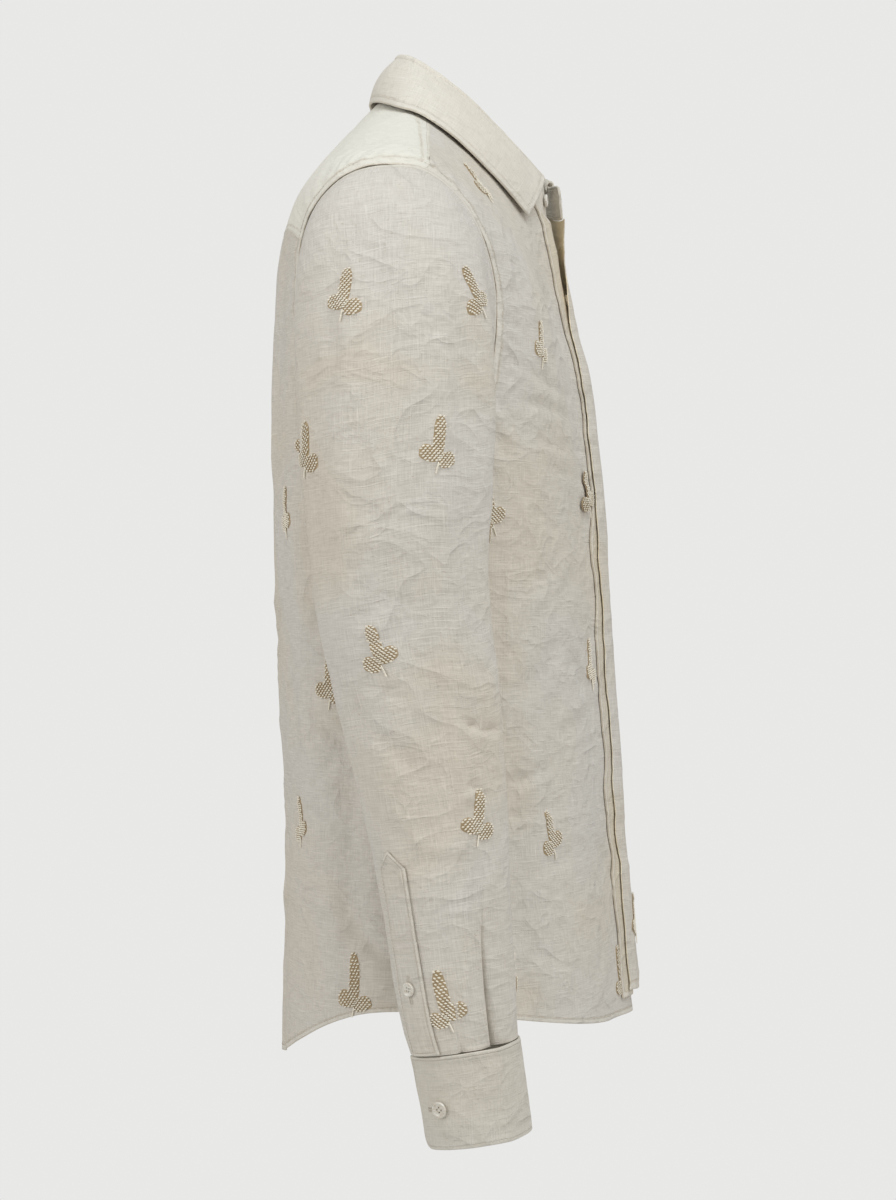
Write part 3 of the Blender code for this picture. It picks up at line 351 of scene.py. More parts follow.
# How far points sink, from creases given in the plane that they are seen in
def creaseField(rows, across, upward):
    depth = np.zeros_like(across)
    here = np.stack([across, upward], axis=-1) * 1000
    for x0, z0, x1, z1, bow, halfWidth, deep in rows:
        start, step = np.array([x0, z0], float), np.array([x1 - x0, z1 - z0], float)
        length = np.hypot(*step)
        along = (here - start) @ step / length**2
        aside = (here - start) @ np.array([-step[1], step[0]]) / length
        inside = np.clip(along, 0.0, 1.0)
        aside = aside - bow * 4 * inside * (1 - inside)
        beyond = (along - inside) * length
        near = np.exp(-((np.hypot(aside, beyond) / halfWidth) ** 2))
        beside = np.exp(-(((aside - 2.0 * halfWidth) / (1.3 * halfWidth)) ** 2
                          + (beyond / halfWidth) ** 2))
        ends = 0.35 + 0.65 * np.sin(np.pi * np.clip(inside * 0.92 + 0.04, 0, 1))
        depth += deep * creaseLook["deep"] * ends * (near - 0.42 * beside)
    return depth


# Smooth unevenness, the same in each run
def wander(points, scale, seed):
    return np.array([noise.noise(Vector(p) * scale + Vector((seed, 2.7 * seed, -seed)))
                     for p in points.reshape(-1, 3)]).reshape(points.shape[:-1])


def waves(points, rows):
    return sum(high * wander(points, scale, seed) for high, scale, seed in rows)


# Points of the cloth with its creases pressed in
def creased(point, normal, onSleeve):
    side = creases["sleeve"] if onSleeve else creases["side"]
    mirror = [(a + 9 * ((i % 3) - 1), b - 12 + 7 * (i % 4), c + 9 * ((i % 3) - 1),
               d - 12 + 7 * (i % 4), -bow, w, deep * (0.7 + 0.2 * (i % 3)))
              for i, (a, b, c, d, bow, w, deep) in enumerate(side)]
    right = smoothStep(-normal[..., 0], 0.05, 0.40)
    left = smoothStep(normal[..., 0], 0.05, 0.40)
    sink = right * creaseField(side, point[..., 1], point[..., 2])
    sink += left * creaseField(mirror, point[..., 1], point[..., 2])
    if not onSleeve:
        front = smoothStep(-normal[..., 1], 0.5, 0.8)
        back = smoothStep(normal[..., 1], 0.3, 0.7)
        sink += front * creaseField(creases["front"], point[..., 0], point[..., 2])
        sink += back * creaseField(creases["back"], point[..., 0], point[..., 2])
    sink += waves(point, creaseLook["waves"])
    tilted = point @ creaseLook["tilt"]
    ridge = 1 - np.abs(wander(tilted, creaseLook["ridges"], creaseLook["ridgeSeed"])) * 2.6
    middle, spread, lowest, highest = creaseLook["patches"]
    patches = wander(point, creaseLook["patchScale"], creaseLook["patchSeed"])
    patches = np.clip(middle + spread * patches, lowest, highest)
    sink -= creaseLook["ridgeHigh"] * patches * np.clip(ridge, 0, 1) ** 3
    return point - normal * sink[..., None]


def addObject(name, data):
    thing = bpy.data.objects.new(name, data)
    bpy.context.scene.collection.objects.link(thing)
    return thing


# A finished smooth mesh object with UVs in metres of cloth
def makePiece(name, points, faces, uv, material, attributes=None):
    mesh = bpy.data.meshes.new(name)
    mesh.from_pydata([tuple(p) for p in points], [], faces)
    layer = mesh.uv_layers.new(name="cloth")
    corners = np.empty(len(mesh.loops), int)
    mesh.loops.foreach_get("vertex_index", corners)
    layer.data.foreach_set("uv", np.asarray(uv, np.float32)[corners].ravel())
    for key, values in (attributes or {}).items():
        mesh.attributes.new(key, "FLOAT", "POINT").data.foreach_set(
            "value", np.asarray(values, np.float32))
    mesh.validate()
    mesh.shade_smooth()
    mesh.set_sharp_from_angle(angle=math.radians(52))
    mesh.materials.append(material)
    return addObject(name, mesh)


# Faces of a closed shell: outer skin, inner skin and the rims between them
def shellFaces(faces, count, rims):
    whole = [tuple(face) for face in faces]
    whole += [tuple(i + count for i in reversed(face)) for face in faces]
    for rim in rims:
        whole += [(a, a + count, b + count, b) for a, b in zip(rim, rim[1:] + rim[:1])]
    return whole


# Makes all faces of a closed shell face out
def fixNormals(piece):
    mesh = bmesh.new()
    mesh.from_mesh(piece.data)
    bmesh.ops.recalc_face_normals(mesh, faces=mesh.faces)
    mesh.to_mesh(piece.data)
    mesh.free()


# Turns all faces over if most of them face inward
def facesOutward(faces, points, normals):
    score = 0.0
    for face in faces[:: max(1, len(faces) // 50)]:
        a, b, c = points[face[0]], points[face[1]], points[face[2]]
        score += np.dot(np.cross(b - a, c - a), normals[face[0]])
    return [tuple(reversed(face)) for face in faces] if score < 0 else faces


def gridFaces(rows, columns, closed=False):
    return [(j * columns + i, j * columns + (i + 1) % columns,
             (j + 1) * columns + (i + 1) % columns, (j + 1) * columns + i)
            for j in range(rows - 1) for i in range(columns if closed else columns - 1)]


# A shell between two grids. Closed ones run round a tube
def gridShell(name, outer, inner, uv, material, closed=False, attributes=None):
    rows, columns = outer.shape[:2]
    faces = gridFaces(rows, columns, closed)
    flatOuter, flatInner = outer.reshape(-1, 3), inner.reshape(-1, 3)
    faces = facesOutward(faces, flatOuter, flatOuter - flatInner)
    number = np.arange(rows * columns).reshape(rows, columns)
    if closed:
        rims = [number[0].tolist(), number[-1].tolist()]
    else:
        rims = [number[0].tolist() + number[1:, -1].tolist() + number[-1, -2::-1].tolist()
                + number[-2:0:-1, 0].tolist()]
    whole = shellFaces(faces, rows * columns, rims)
    both = {k: np.tile(np.asarray(v).ravel(), 2) for k, v in (attributes or {}).items()}
    piece = makePiece(name, np.concatenate([flatOuter, flatInner]), whole,
                      np.tile(uv.reshape(-1, 2), (2, 1)), material, attributes=both)
    fixNormals(piece)
    return piece


print("mesh helpers ready")


def arcLength(points, axis):
    steps = np.linalg.norm(np.diff(points, axis=axis), axis=-1)
    start = np.zeros_like(np.take(steps, [0], axis=axis))
    return np.concatenate([start, np.cumsum(steps, axis=axis)], axis=axis)


def flatten(domain, centre):
    width = np.radians(1) * smoothRead(rings["half"], domain[..., 1])
    down = np.interp(domain[..., 1], ringSteps, ringLengths)
    return np.stack([(domain[..., 0] - centre) * width, down], axis=-1)


def unflatten(flat, centre):
    ring = np.interp(flat[..., 1], ringLengths, ringSteps)
    width = np.radians(1) * smoothRead(rings["half"], ring)
    return np.stack([centre + flat[..., 0] / width, ring], axis=-1)


grainAngles, grainRings = np.linspace(0.0, 360.0, 121), np.linspace(0.0, 8.2, 165)
grainProbe = bodyForm(*np.meshgrid(grainAngles, np.minimum(grainRings, 8.0)))
grainTable = arcLength(grainProbe, 0)
grainTable = grainTable - grainTable[120]


# Length of cloth below the level waist ring, so that the weft runs level
def grainDown(angle, ring):
    across = (angle % 360.0) / 3.0
    down = np.clip(ring / 0.05, 0, 163.999)
    i, j = np.minimum(across.astype(int), 119), down.astype(int)
    u, v = across - i, down - j
    top = grainTable[j, i] * (1 - u) + grainTable[j, i + 1] * u
    foot = grainTable[j + 1, i] * (1 - u) + grainTable[j + 1, i + 1] * u
    return top * (1 - v) + foot * v


# Distance of flat points from a line of flat points, and whether they lie inside it
def lineDistance(points, line, closed=False):
    nearest, inside = np.full(len(points), 1e9), np.zeros(len(points), bool)
    ends = np.roll(line, -1, axis=0) if closed else line[1:]
    for a, b in zip(line, ends):
        step = b - a
        span = step @ step
        if span < 1e-14:
            continue
        share = np.clip(((points - a) @ step) / span, 0, 1)
        off = points - a - share[:, None] * step
        nearest = np.minimum(nearest, np.einsum("ij,ij->i", off, off))
        if closed and a[1] != b[1]:
            crosses = (a[1] > points[:, 1]) != (b[1] > points[:, 1])
            inside ^= crosses & (points[:, 0] < a[0] + (points[:, 1] - a[1]) * step[0] / step[1])
    return np.sqrt(nearest), inside


puckers = {"deep": {"front": 0.0023, "back": 0.0012, "yoke": 0.0007}, "pitch": 0.0175,
           "step": 0.001, "box": 0.05, "start": 0.006, "full": 0.012, "reach": 0.030}


# Short radial puckers where a sewn curve draws the cloth together beside its band
def seamPuckers(points, line, deep):
    length, step, box = arcLength(line, 0), puckers["step"], puckers["box"]
    places = np.arange(0.0, length[-1], step)
    dense = np.stack([np.interp(places, length, line[:, i]) for i in range(2)], axis=-1)
    depth = np.zeros(len(points))
    near = np.nonzero(np.all(
        (points > dense.min(0) - box) & (points < dense.max(0) + box), axis=1))[0]
    gaps = np.linalg.norm(points[near][:, None] - dense[None], axis=-1)
    away, at = gaps.min(1), gaps.argmin(1) * step
    phase = at * 2 * np.pi / puckers["pitch"] + 1.6 * np.sin(at * 31.0) + 0.9 * np.sin(at * 83.0)
    strength = 0.55 + 0.45 * np.sin(at * 19.0 + 1.0)
    fade = smoothStep(away, puckers["start"], puckers["full"])
    fade = fade * np.exp(-(((away - puckers["full"]) / puckers["reach"]) ** 2))
    depth[near] = deep * strength * fade * np.sin(phase)
    return depth


meshSpacing, bandFar = 0.0046, 3.0
bandWidths = {"hem": 0.007, "arm": 0.0085, "yokeSeam": 0.005, "narrow": 0.0025,
              "strip": 0.004, "collarFall": 0.0055}


# A body panel from named boundary pieces of (angles, rings). Bands are the widths of
# cloth folded under and sewn down along a boundary piece.
def panel(name, pieces, rise, centre, bands, material, spacing=meshSpacing):
    outline = np.concatenate([np.stack(p[:2], axis=-1)[:-1] for p in pieces])
    flat = flatten(outline, centre)
    low, high = flat.min(0), flat.max(0)
    xs = np.arange(low[0] // spacing, high[0] // spacing + 2) * spacing
    ys = np.arange(low[1] // spacing, high[1] // spacing + 2) * spacing
    grid = np.stack(np.meshgrid(xs, ys), axis=-1)
    grid[1::2, :, 0] += spacing / 2
    grid = grid.reshape(-1, 2)
    away, inside = lineDistance(grid, flat, closed=True)
    points = np.concatenate([flat, grid[inside & (away > 0.45 * spacing)]])
    count = len(flat)
    filled = geometry.delaunay_2d_cdt(
        [Vector(p) for p in points], [(i, (i + 1) % count) for i in range(count)],
        [list(range(count))], 1, 1e-7)
    points = np.array([tuple(p) for p in filled[0]])
    domain = unflatten(points, centre)
    angle, ring = domain[:, 0], domain[:, 1]
    point, normal = bodySurface(angle, ring)
    point = creased(point, normal, False)
    deep = puckers["deep"][name.split("_")[1]]
    for piece in pieces:
        if piece[2] == "arm":
            line = flatten(np.stack(piece[:2], axis=-1), centre)
            point = point - normal * seamPuckers(points, line, deep)[:, None]
    point = point + normal * rise(angle, ring)[:, None]
    band = np.full(len(points), bandFar)
    for piece in pieces:
        if piece[2] in bands:
            line = flatten(np.stack(piece[:2], axis=-1), centre)
            band = np.minimum(band, lineDistance(points, line)[0] / bands[piece[2]])
    faces = facesOutward([tuple(f) for f in filled[2]], point, normal)
    whole = shellFaces(faces, len(points), [list(range(count))])
    made = makePiece(name, np.concatenate([point, point - normal * closure["ply"]]), whole,
                     np.tile(np.stack([points[:, 0], -grainDown(angle, ring)], axis=-1), (2, 1)),
                     material, attributes={"band": np.tile(band, 2)})
    fixNormals(made)
    print(name, len(whole), "faces")
    return made


# The left front stands off over the buttons, and its edge sinks back towards the strip
def leftRise(angle, ring):
    x = bodyForm(angle, ring)[..., 0]
    nearEdge = 1 - smoothStep(x - leftEdgeX(ring), 0.001, 0.009)
    return standOff(x, ring) - closure["edgeSink"] * nearEdge * smoothStep(ring, 1.6, 3.2)


# The other panels lie on the form, at all angles and rings
def noRise(angle, ring):
    return np.zeros_like(angle)


def evenly(start, end, steps):
    return np.linspace(start, end, steps + 1)


# A boundary piece mirrored to the other side of the back and run the other way
def flipped(piece, tag):
    return 360.0 - piece[0][::-1], piece[1][::-1], tag


# Boundary of a front, once round: hem, side seam, armhole, yoke seam, neck, free edge
def frontPieces(side):
    edgeX = leftEdgeX if side > 0 else rightEdgeX
    hem = evenly(side * angleAtX(edgeX(8.0), 8.0), 90.0, 80)
    lift = closure["leftLift"] * (1 - smoothStep(hem, 4.0, 70.0)) if side > 0 else 0.0 * hem
    hemRings = 8.0 - lift / hemStep
    ringsDown = evenly(0.0, hemRings[0], 150)
    seamAngle, seamRing = armholeAt(armhole["yokeFront"], 1)
    pieces = [
        (hem, hemRings, "hem"),
        (np.full(89, 90.0), evenly(8.0, armhole["foot"], 88), "side"),
        (*armholeAt(evenly(180.0, armhole["yokeFront"], 70), 1), "arm"),
        (evenly(seamAngle, armhole["neckAngle"], 34), evenly(seamRing, 0.0, 34), "yoke"),
        (evenly(armhole["neckAngle"], side * angleAtX(edgeX(0.0), 0.0), 22), np.zeros(23), "neck"),
        (side * angleAtX(edgeX(ringsDown), ringsDown), ringsDown, "edge"),
    ]
    return [(side * a, r, tag) for a, r, tag in pieces]


# The yoke's seam across the back, lowest in the middle
def backSeam(steps):
    seamAngle, seamRing = armholeAt(armhole["yokeBack"], -1)
    angles = evenly(360.0 - seamAngle, seamAngle, steps)
    share = np.abs(angles - 180.0) / (180.0 - seamAngle)
    return angles, armhole["yokeDrop"] + (seamRing - armhole["yokeDrop"]) * share**2


def backPieces():
    side = (np.full(89, 90.0), evenly(8.0, armhole["foot"], 88))
    arm = armholeAt(evenly(180.0, armhole["yokeBack"], 40), -1)
    hem, seam = evenly(270.0, 90.0, 160), backSeam(96)
    return [(hem, np.full_like(hem, 8.0), "hem"), (*side, "side"), (*arm, "arm"),
            (seam[0][::-1], seam[1][::-1], "yoke"), flipped(arm, "arm"), flipped(side, "side")]


def yokePieces():
    frontAngle, frontRing = armholeAt(armhole["yokeFront"], 1)
    armBack = armholeAt(evenly(armhole["yokeBack"], 0.0, 34), -1)
    armFront = armholeAt(evenly(0.0, armhole["yokeFront"], 3), 1)
    seam = (evenly(frontAngle, armhole["neckAngle"], 34), evenly(frontRing, 0.0, 34))
    neck = evenly(armhole["neckAngle"], 360.0 - armhole["neckAngle"], 40)
    return [(*backSeam(96), "back"), (*armBack, "arm"), (*armFront, "arm"), (*seam, "front"),
            (neck, np.zeros_like(neck), "neck"), flipped(seam, "front"),
            flipped(armFront, "arm"), flipped(armBack, "arm")]


# Adds a node and fills its inputs: sockets are linked, plain values are set
def addNode(tree, kind, settings=None, **values):
    node = tree.nodes.new(kind)
    for key, value in (settings or {}).items():
        setattr(node, key, value)
    for key, value in values.items():
        socket = node.inputs[int(key[1:])] if key[0] == "i" and key[1:].isdigit() \
            else node.inputs[key.replace("_", " ")]
        if isinstance(value, bpy.types.NodeSocket):
            tree.links.new(value, socket)
        else:
            socket.default_value = value
    return node


# A node group with its input and output nodes
def shaderGroup(name, inputs, outputs):
    group = bpy.data.node_groups.new(name, "ShaderNodeTree")
    kinds = {"vector": "NodeSocketVector", "float": "NodeSocketFloat"}
    for title, kind, value in inputs:
        socket = group.interface.new_socket(title, in_out="INPUT", socket_type=kinds[kind])
        if value is not None:
            socket.default_value = value
    for title in outputs:
        group.interface.new_socket(title, in_out="OUTPUT", socket_type="NodeSocketFloat")
    return group, group.nodes.new("NodeGroupInput"), group.nodes.new("NodeGroupOutput")


def mathNode(tree, operation, first, second=0.0, third=0.0):
    return addNode(tree, "ShaderNodeMath", {"operation": operation},
                   i0=first, i1=second, i2=third).outputs[0]


# A smooth step from low to high, onto another range
def spanNode(tree, value, low, high, toLow=0.0, toHigh=1.0):
    return addNode(tree, "ShaderNodeMapRange", {"clamp": True, "interpolation_type": "SMOOTHSTEP"},
                   Value=value, From_Min=low, From_Max=high, To_Min=toLow,
                   To_Max=toHigh).outputs[0]


def noiseNode(tree, vector, stretch, detail=2.0, distortion=0.0, seed=0.0):
    turned = addNode(tree, "ShaderNodeMapping", Vector=vector, Location=(seed, seed * 0.7, seed),
                     Scale=stretch)
    return addNode(tree, "ShaderNodeTexNoise", Vector=turned.outputs[0], Scale=1.0,
                   Detail=detail, Roughness=0.55, Distortion=distortion).outputs[0]


# Noises of the weave: yarns a metre across and along, detail, distortion and seed
weaveLook = {
    "warp": ((1250.0, 62.0, 1.0), 2.0, 0.25), "weft": ((48.0, 1350.0, 1.0), 2.0, 0.25, 3.0),
    "fine": ((2300.0, 2300.0, 1.0), 1.0, 0.0, 9.0), "fleck": ((420.0, 900.0, 1.0), 0.0, 0.0, 41.0),
    "slubWarp": ((760.0, 26.0, 1.0), 1.0, 0.1, 17.0),
    "slubWeft": ((22.0, 820.0, 1.0), 1.0, 0.1, 29.0), "high": 0.00042,
}


# Plain weave with thick and thin yarns. Coordinates are metres of cloth.
def weaveGroup():
    group, start, end = shaderGroup(
        "linen_weave", (("Cloth", "vector", None), ("Slubs", "float", 1.0)),
        ("Height", "Tone", "Fleck"))
    warp, weft, fine, fleck, slubWarp, slubWeft = (
        noiseNode(group, start.outputs["Cloth"], *weaveLook[name])
        for name in ("warp", "weft", "fine", "fleck", "slubWarp", "slubWeft"))
    slubWarp = spanNode(group, slubWarp, 0.61, 0.74)
    slubWeft = spanNode(group, slubWeft, 0.58, 0.72)
    slubs = mathNode(group, "MULTIPLY", mathNode(group, "MAXIMUM", slubWarp, slubWeft),
                     start.outputs["Slubs"])
    yarns = mathNode(group, "ADD", mathNode(group, "MULTIPLY", warp, 0.45),
                     mathNode(group, "MULTIPLY", weft, 0.55))
    tone = mathNode(group, "ADD", yarns, mathNode(group, "MULTIPLY", slubs, 0.16))
    group.links.new(mathNode(group, "MULTIPLY_ADD", fine, 0.18, tone), end.inputs["Tone"])
    height = mathNode(group, "MULTIPLY_ADD", slubs, 0.35, yarns)
    height = mathNode(group, "MULTIPLY_ADD", fine, 0.30, height)
    height = mathNode(group, "MULTIPLY", height, weaveLook["high"])
    group.links.new(height, end.inputs["Height"])
    group.links.new(spanNode(group, fleck, 0.76, 0.84), end.inputs["Fleck"])
    return group


# Waves a metre, height in metres, seed and sharpness
crumpleWaves = ((17.0, 0.00135, 1.0, 2.2), (34.0, 0.00062, 5.0, 1.8), (82.0, 0.00022, 11.0, 1.0))


# Soft crumples of worn linen: ridged noise in metres, from object coordinates
def crumpleGroup():
    group, start, end = shaderGroup(
        "worn_crumple", (("Place", "vector", None), ("Amount", "float", 1.0)),
        ("Height", "Tone"))
    place = start.outputs["Place"]
    total = None
    for size, deep, seed, sharp in crumpleWaves:
        wave = noiseNode(group, place, (size, size, size * 1.35), 1.5, 0.9, seed)
        fold = mathNode(group, "ABSOLUTE", mathNode(group, "MULTIPLY_ADD", wave, 2.0, -1.0))
        ridge = mathNode(group, "POWER", mathNode(group, "SUBTRACT", 1.0, fold), sharp * 2)
        part = mathNode(group, "MULTIPLY", ridge, deep)
        total = part if total is None else mathNode(group, "ADD", total, part)
    height = mathNode(group, "MULTIPLY", total, start.outputs["Amount"])
    group.links.new(height, end.inputs["Height"])
    broad = noiseNode(group, place, (7.0, 7.0, 7.0), 3.0, 0.4, 23.0)
    group.links.new(broad, end.inputs["Tone"])
    return group


# A folded and sewn edge: the "band" attribute is 0 at the edge and 1 at the stitches
def sewnGroup():
    group, start, end = shaderGroup(
        "sewn_edge", (("Band", "float", bandFar), ("Place", "vector", None)),
        ("Height", "Layer", "Line"))
    band = start.outputs["Band"]
    layer = spanNode(group, band, 1.06, 0.94)
    off = mathNode(group, "SUBTRACT", band, 1.0)
    near, edge = (
        mathNode(group, "POWER", 2.718, mathNode(
            group, "MULTIPLY", mathNode(group, "MULTIPLY", away, away), narrow))
        for away, narrow in ((off, -34.0), (band, -60.0)))
    pull = noiseNode(group, start.outputs["Place"], (150.0, 150.0, 150.0), 1.0, 0.0, 2.0)
    around = spanNode(group, band, 2.9, 0.9)
    pucker = mathNode(group, "MULTIPLY", mathNode(group, "MULTIPLY", pull, around), 0.0014)
    dip = mathNode(group, "MULTIPLY", mathNode(group, "ADD", near, edge), -0.00035)
    height = mathNode(group, "MULTIPLY_ADD", layer, 0.00028, mathNode(
        group, "ADD", pucker, dip))
    group.links.new(height, end.inputs["Height"])
    group.links.new(layer, end.inputs["Layer"])
    # Painted shade: a darker, broken line along the stitch groove and along the folded edge
    broken = spanNode(group, pull, 0.35, 0.6, 0.35, 1.0)
    line = mathNode(group, "MULTIPLY", mathNode(group, "MAXIMUM", near, edge), broken)
    group.links.new(line, end.inputs["Line"])
    return group


weaveNodes, crumpleNodes, sewnNodes = weaveGroup(), crumpleGroup(), sewnGroup()


def useGroup(tree, group, **values):
    return addNode(tree, "ShaderNodeGroup", {"node_tree": group}, **values)


def mixColour(tree, share, first, second, blend="MIX"):
    node = addNode(tree, "ShaderNodeMix", {"data_type": "RGBA", "blend_type": blend})
    for name, value in (("Factor", share), ("A", first), ("B", second)):
        socket = next(s for s in node.inputs if s.name == name and s.enabled)
        if isinstance(value, bpy.types.NodeSocket):
            tree.links.new(value, socket)
        else:
            socket.default_value = value
    return next(s for s in node.outputs if s.enabled)


# A new material with its tree, its shader node and the object's own coordinates
def newMaterial(name):
    material = bpy.data.materials.new(name)
    material.use_nodes = True
    tree = material.node_tree
    place = addNode(tree, "ShaderNodeTexCoord").outputs["Object"]
    return material, tree, tree.nodes["Principled BSDF"], place


# Bends the shading of a surface by a height in metres
def bumpInto(tree, shader, height, strength):
    bump = addNode(tree, "ShaderNodeBump", Height=height, Strength=strength, Distance=1.0)
    tree.links.new(bump.outputs[0], shader.inputs["Normal"])


# Linen cloth. Looks: light and dark yarn colours, crumple and slub amounts.
def linenMaterial(name, look):
    material, tree, shader, place = newMaterial(name)
    cloth = addNode(tree, "ShaderNodeUVMap", {"uv_map": "cloth"}).outputs[0]
    band = addNode(tree, "ShaderNodeAttribute", {"attribute_name": "band"}).outputs["Fac"]
    weave = useGroup(tree, weaveNodes, Cloth=cloth, Slubs=look["slubs"])
    crumple = useGroup(tree, crumpleNodes, Place=place, Amount=look["crumple"])
    sewn = useGroup(tree, sewnNodes, Band=band, Place=place)
    tone = spanNode(tree, weave.outputs["Tone"], look["low"], look["high"])
    colour = mixColour(tree, tone, look["dark"], look["light"])
    warmth = spanNode(tree, crumple.outputs["Tone"], 0.35, 0.65, 0.0, look["patchy"])
    colour = mixColour(tree, warmth, colour, look["warm"], "MULTIPLY")
    layer = mathNode(tree, "MULTIPLY", sewn.outputs["Layer"], look["layer"])
    colour = mixColour(tree, layer, colour, look["double"])
    # Painted shade along stitch grooves and folded edges, in the "line" colour at the "seam"
    # strength
    seam = mathNode(tree, "MULTIPLY", sewn.outputs["Line"], look["seam"])
    colour = mixColour(tree, seam, colour, look["line"])
    fleck = mathNode(tree, "MULTIPLY", weave.outputs["Fleck"], 0.45)
    colour = mixColour(tree, fleck, colour, look["fleck"])
    tree.links.new(colour, shader.inputs["Base Color"])
    tree.links.new(spanNode(tree, tone, 0.0, 1.0, 0.92, 0.80), shader.inputs["Roughness"])
    shader.inputs["Specular IOR Level"].default_value = 0.22
    shader.inputs["Sheen Weight"].default_value = 0.10
    shader.inputs["Sheen Roughness"].default_value = 0.55
    height = mathNode(tree, "ADD", weave.outputs["Height"], mathNode(
        tree, "ADD", crumple.outputs["Height"], sewn.outputs["Height"]))
    bumpInto(tree, shader, height, look["bump"])
    return material


# "line" is the colour of the painted shade along stitch grooves and folded edges, "seam" its
# strength
clothLook = {
    "light": (0.74, 0.70, 0.64, 1.0), "dark": (0.575, 0.540, 0.484, 1.0),
    "warm": (1.0, 0.965, 0.90, 1.0), "double": (0.76, 0.715, 0.635, 1.0),
    "line": (0.52, 0.42, 0.29, 1.0), "fleck": (0.40, 0.31, 0.20, 1.0),
    "layer": 0.6, "patchy": 0.95, "slubs": 1.0, "crumple": 1.05, "bump": 1.0,
    "low": 0.38, "high": 0.82, "seam": 0.42,
}
bandLook = dict(clothLook, light=(0.79, 0.75, 0.67, 1.0), dark=(0.69, 0.645, 0.565, 1.0),
                crumple=0.7, patchy=0.35, layer=0.25, seam=0.16)
yokeLook = dict(clothLook, light=(0.84, 0.82, 0.74, 1.0), dark=(0.76, 0.735, 0.655, 1.0),
                crumple=0.6, patchy=0.2, layer=0.3)
linen = linenMaterial("linen_cloth", clothLook)
bandLinen = linenMaterial("linen_bands", bandLook)
yokeLinen = linenMaterial("linen_yoke", yokeLook)
# Painted shade: the strip's linen is tinted tan for the deep shade of the gap under the left
# front's edge
stripShadeLinen = linenMaterial("linen_strip_painted_shade", dict(
    clothLook, light=(0.75, 0.69, 0.58, 1.0), dark=(0.62, 0.555, 0.45, 1.0)))
# Painted light: a brighter, warmer linen for hidden faces round the opening, standing in for light
# through the cloth
paintedThroughLightLinen = linenMaterial("linen_painted_through_light", dict(
    clothLook, light=(0.96, 0.89, 0.73, 1.0), dark=(0.92, 0.83, 0.64, 1.0)))
# Painted shade: the cuffs get a darker copy of the band linen for the shade at the foot of the
# sleeves
cuffShadeLinen = linenMaterial("linen_cuffs", dict(
    bandLook, light=(0.70, 0.66, 0.585, 1.0), dark=(0.60, 0.56, 0.485, 1.0), crumple=1.1))


# Spun thread: ply twist as fine streaks, darker where the fibre bump is low (painted shade between
# the fibres), over a patchy tone of its own
def threadMaterial(name, look):
    material, tree, shader, place = newMaterial(name)
    fibre = noiseNode(tree, place, (2600.0, 2600.0, 900.0), 2.0, 0.3, 5.0)
    patch = noiseNode(tree, place, (60.0, 60.0, 60.0), 2.0, 0.0, 8.0)
    share = mathNode(tree, "MULTIPLY_ADD", patch, 0.5, mathNode(tree, "MULTIPLY", fibre, 0.6))
    colour = mixColour(tree, spanNode(tree, share, 0.35, 0.75), look["dark"], look["light"])
    tree.links.new(colour, shader.inputs["Base Color"])
    shader.inputs["Roughness"].default_value = look["rough"]
    shader.inputs["Sheen Weight"].default_value = 0.15
    bumpInto(tree, shader, mathNode(tree, "MULTIPLY", fibre, 0.00018), 0.8)
    return material


threadLight = threadMaterial("thread_net", {
    "light": (0.94, 0.89, 0.78, 1.0), "dark": (0.84, 0.76, 0.61, 1.0), "rough": 0.75})
# Painted shade: a dark brown sheet under the petals' stitches, in place of the shade between them
stitchShadeSheet = threadMaterial("thread_ground", {
    "light": (0.50, 0.385, 0.24, 1.0), "dark": (0.34, 0.25, 0.14, 1.0), "rough": 0.9})
seamThread = threadMaterial("thread_seam", {
    "light": (0.74, 0.69, 0.60, 1.0), "dark": (0.52, 0.47, 0.38, 1.0), "rough": 0.8})


# Pearly shell: soft bands of warm and cool white under a smooth polish
def shellMaterial(name):
    material, tree, shader, place = newMaterial(name)
    band = noiseNode(tree, place, (190.0, 190.0, 420.0), 3.0, 1.2, 2.0)
    cloud = noiseNode(tree, place, (700.0, 700.0, 700.0), 2.0, 0.5, 7.0)
    colour = mixColour(tree, spanNode(tree, band, 0.35, 0.65), (0.62, 0.55, 0.45, 1.0),
                       (0.80, 0.77, 0.70, 1.0))
    colour = mixColour(tree, spanNode(tree, cloud, 0.45, 0.75, 0.0, 0.35), colour,
                       (0.72, 0.76, 0.74, 1.0))
    tree.links.new(colour, shader.inputs["Base Color"])
    tree.links.new(spanNode(tree, cloud, 0.3, 0.7, 0.22, 0.38), shader.inputs["Roughness"])
    shader.inputs["Coat Weight"].default_value = 0.35
    bumpInto(tree, shader, mathNode(tree, "MULTIPLY", band, 0.00012), 0.5)
    return material


shell = shellMaterial("button_shell")
print("materials ready")

bodyBands = {"hem": bandWidths["hem"], "arm": bandWidths["arm"]}
yokeBands = {"arm": bandWidths["arm"], "front": bandWidths["yokeSeam"],
             "back": bandWidths["yokeSeam"]}
panels = {}
for node, pieces, rise, centre, bands, material in (
        ("front_right", frontPieces(-1), noRise, 0.0, bodyBands, linen),
        ("front_left", frontPieces(1), leftRise, 0.0, bodyBands, linen),
        ("back", backPieces(), noRise, 180.0, bodyBands, linen),
        ("yoke", yokePieces(), noRise, 180.0, yokeBands, yokeLinen)):
    panels[node] = panel(f"shirt_{node}", pieces, rise, centre, bands, material)


# Uneven shares of a length with extra lines close to both ends, so edges can be round
def edgedShares(length, step, rim=(0.0, 0.0003, 0.0008, 0.0016)):
    middle = np.linspace(rim[-1], length - rim[-1], max(2, int(length / step)))
    return np.concatenate([rim[:-1], middle, length - np.array(rim[:-1])[::-1]]) / length


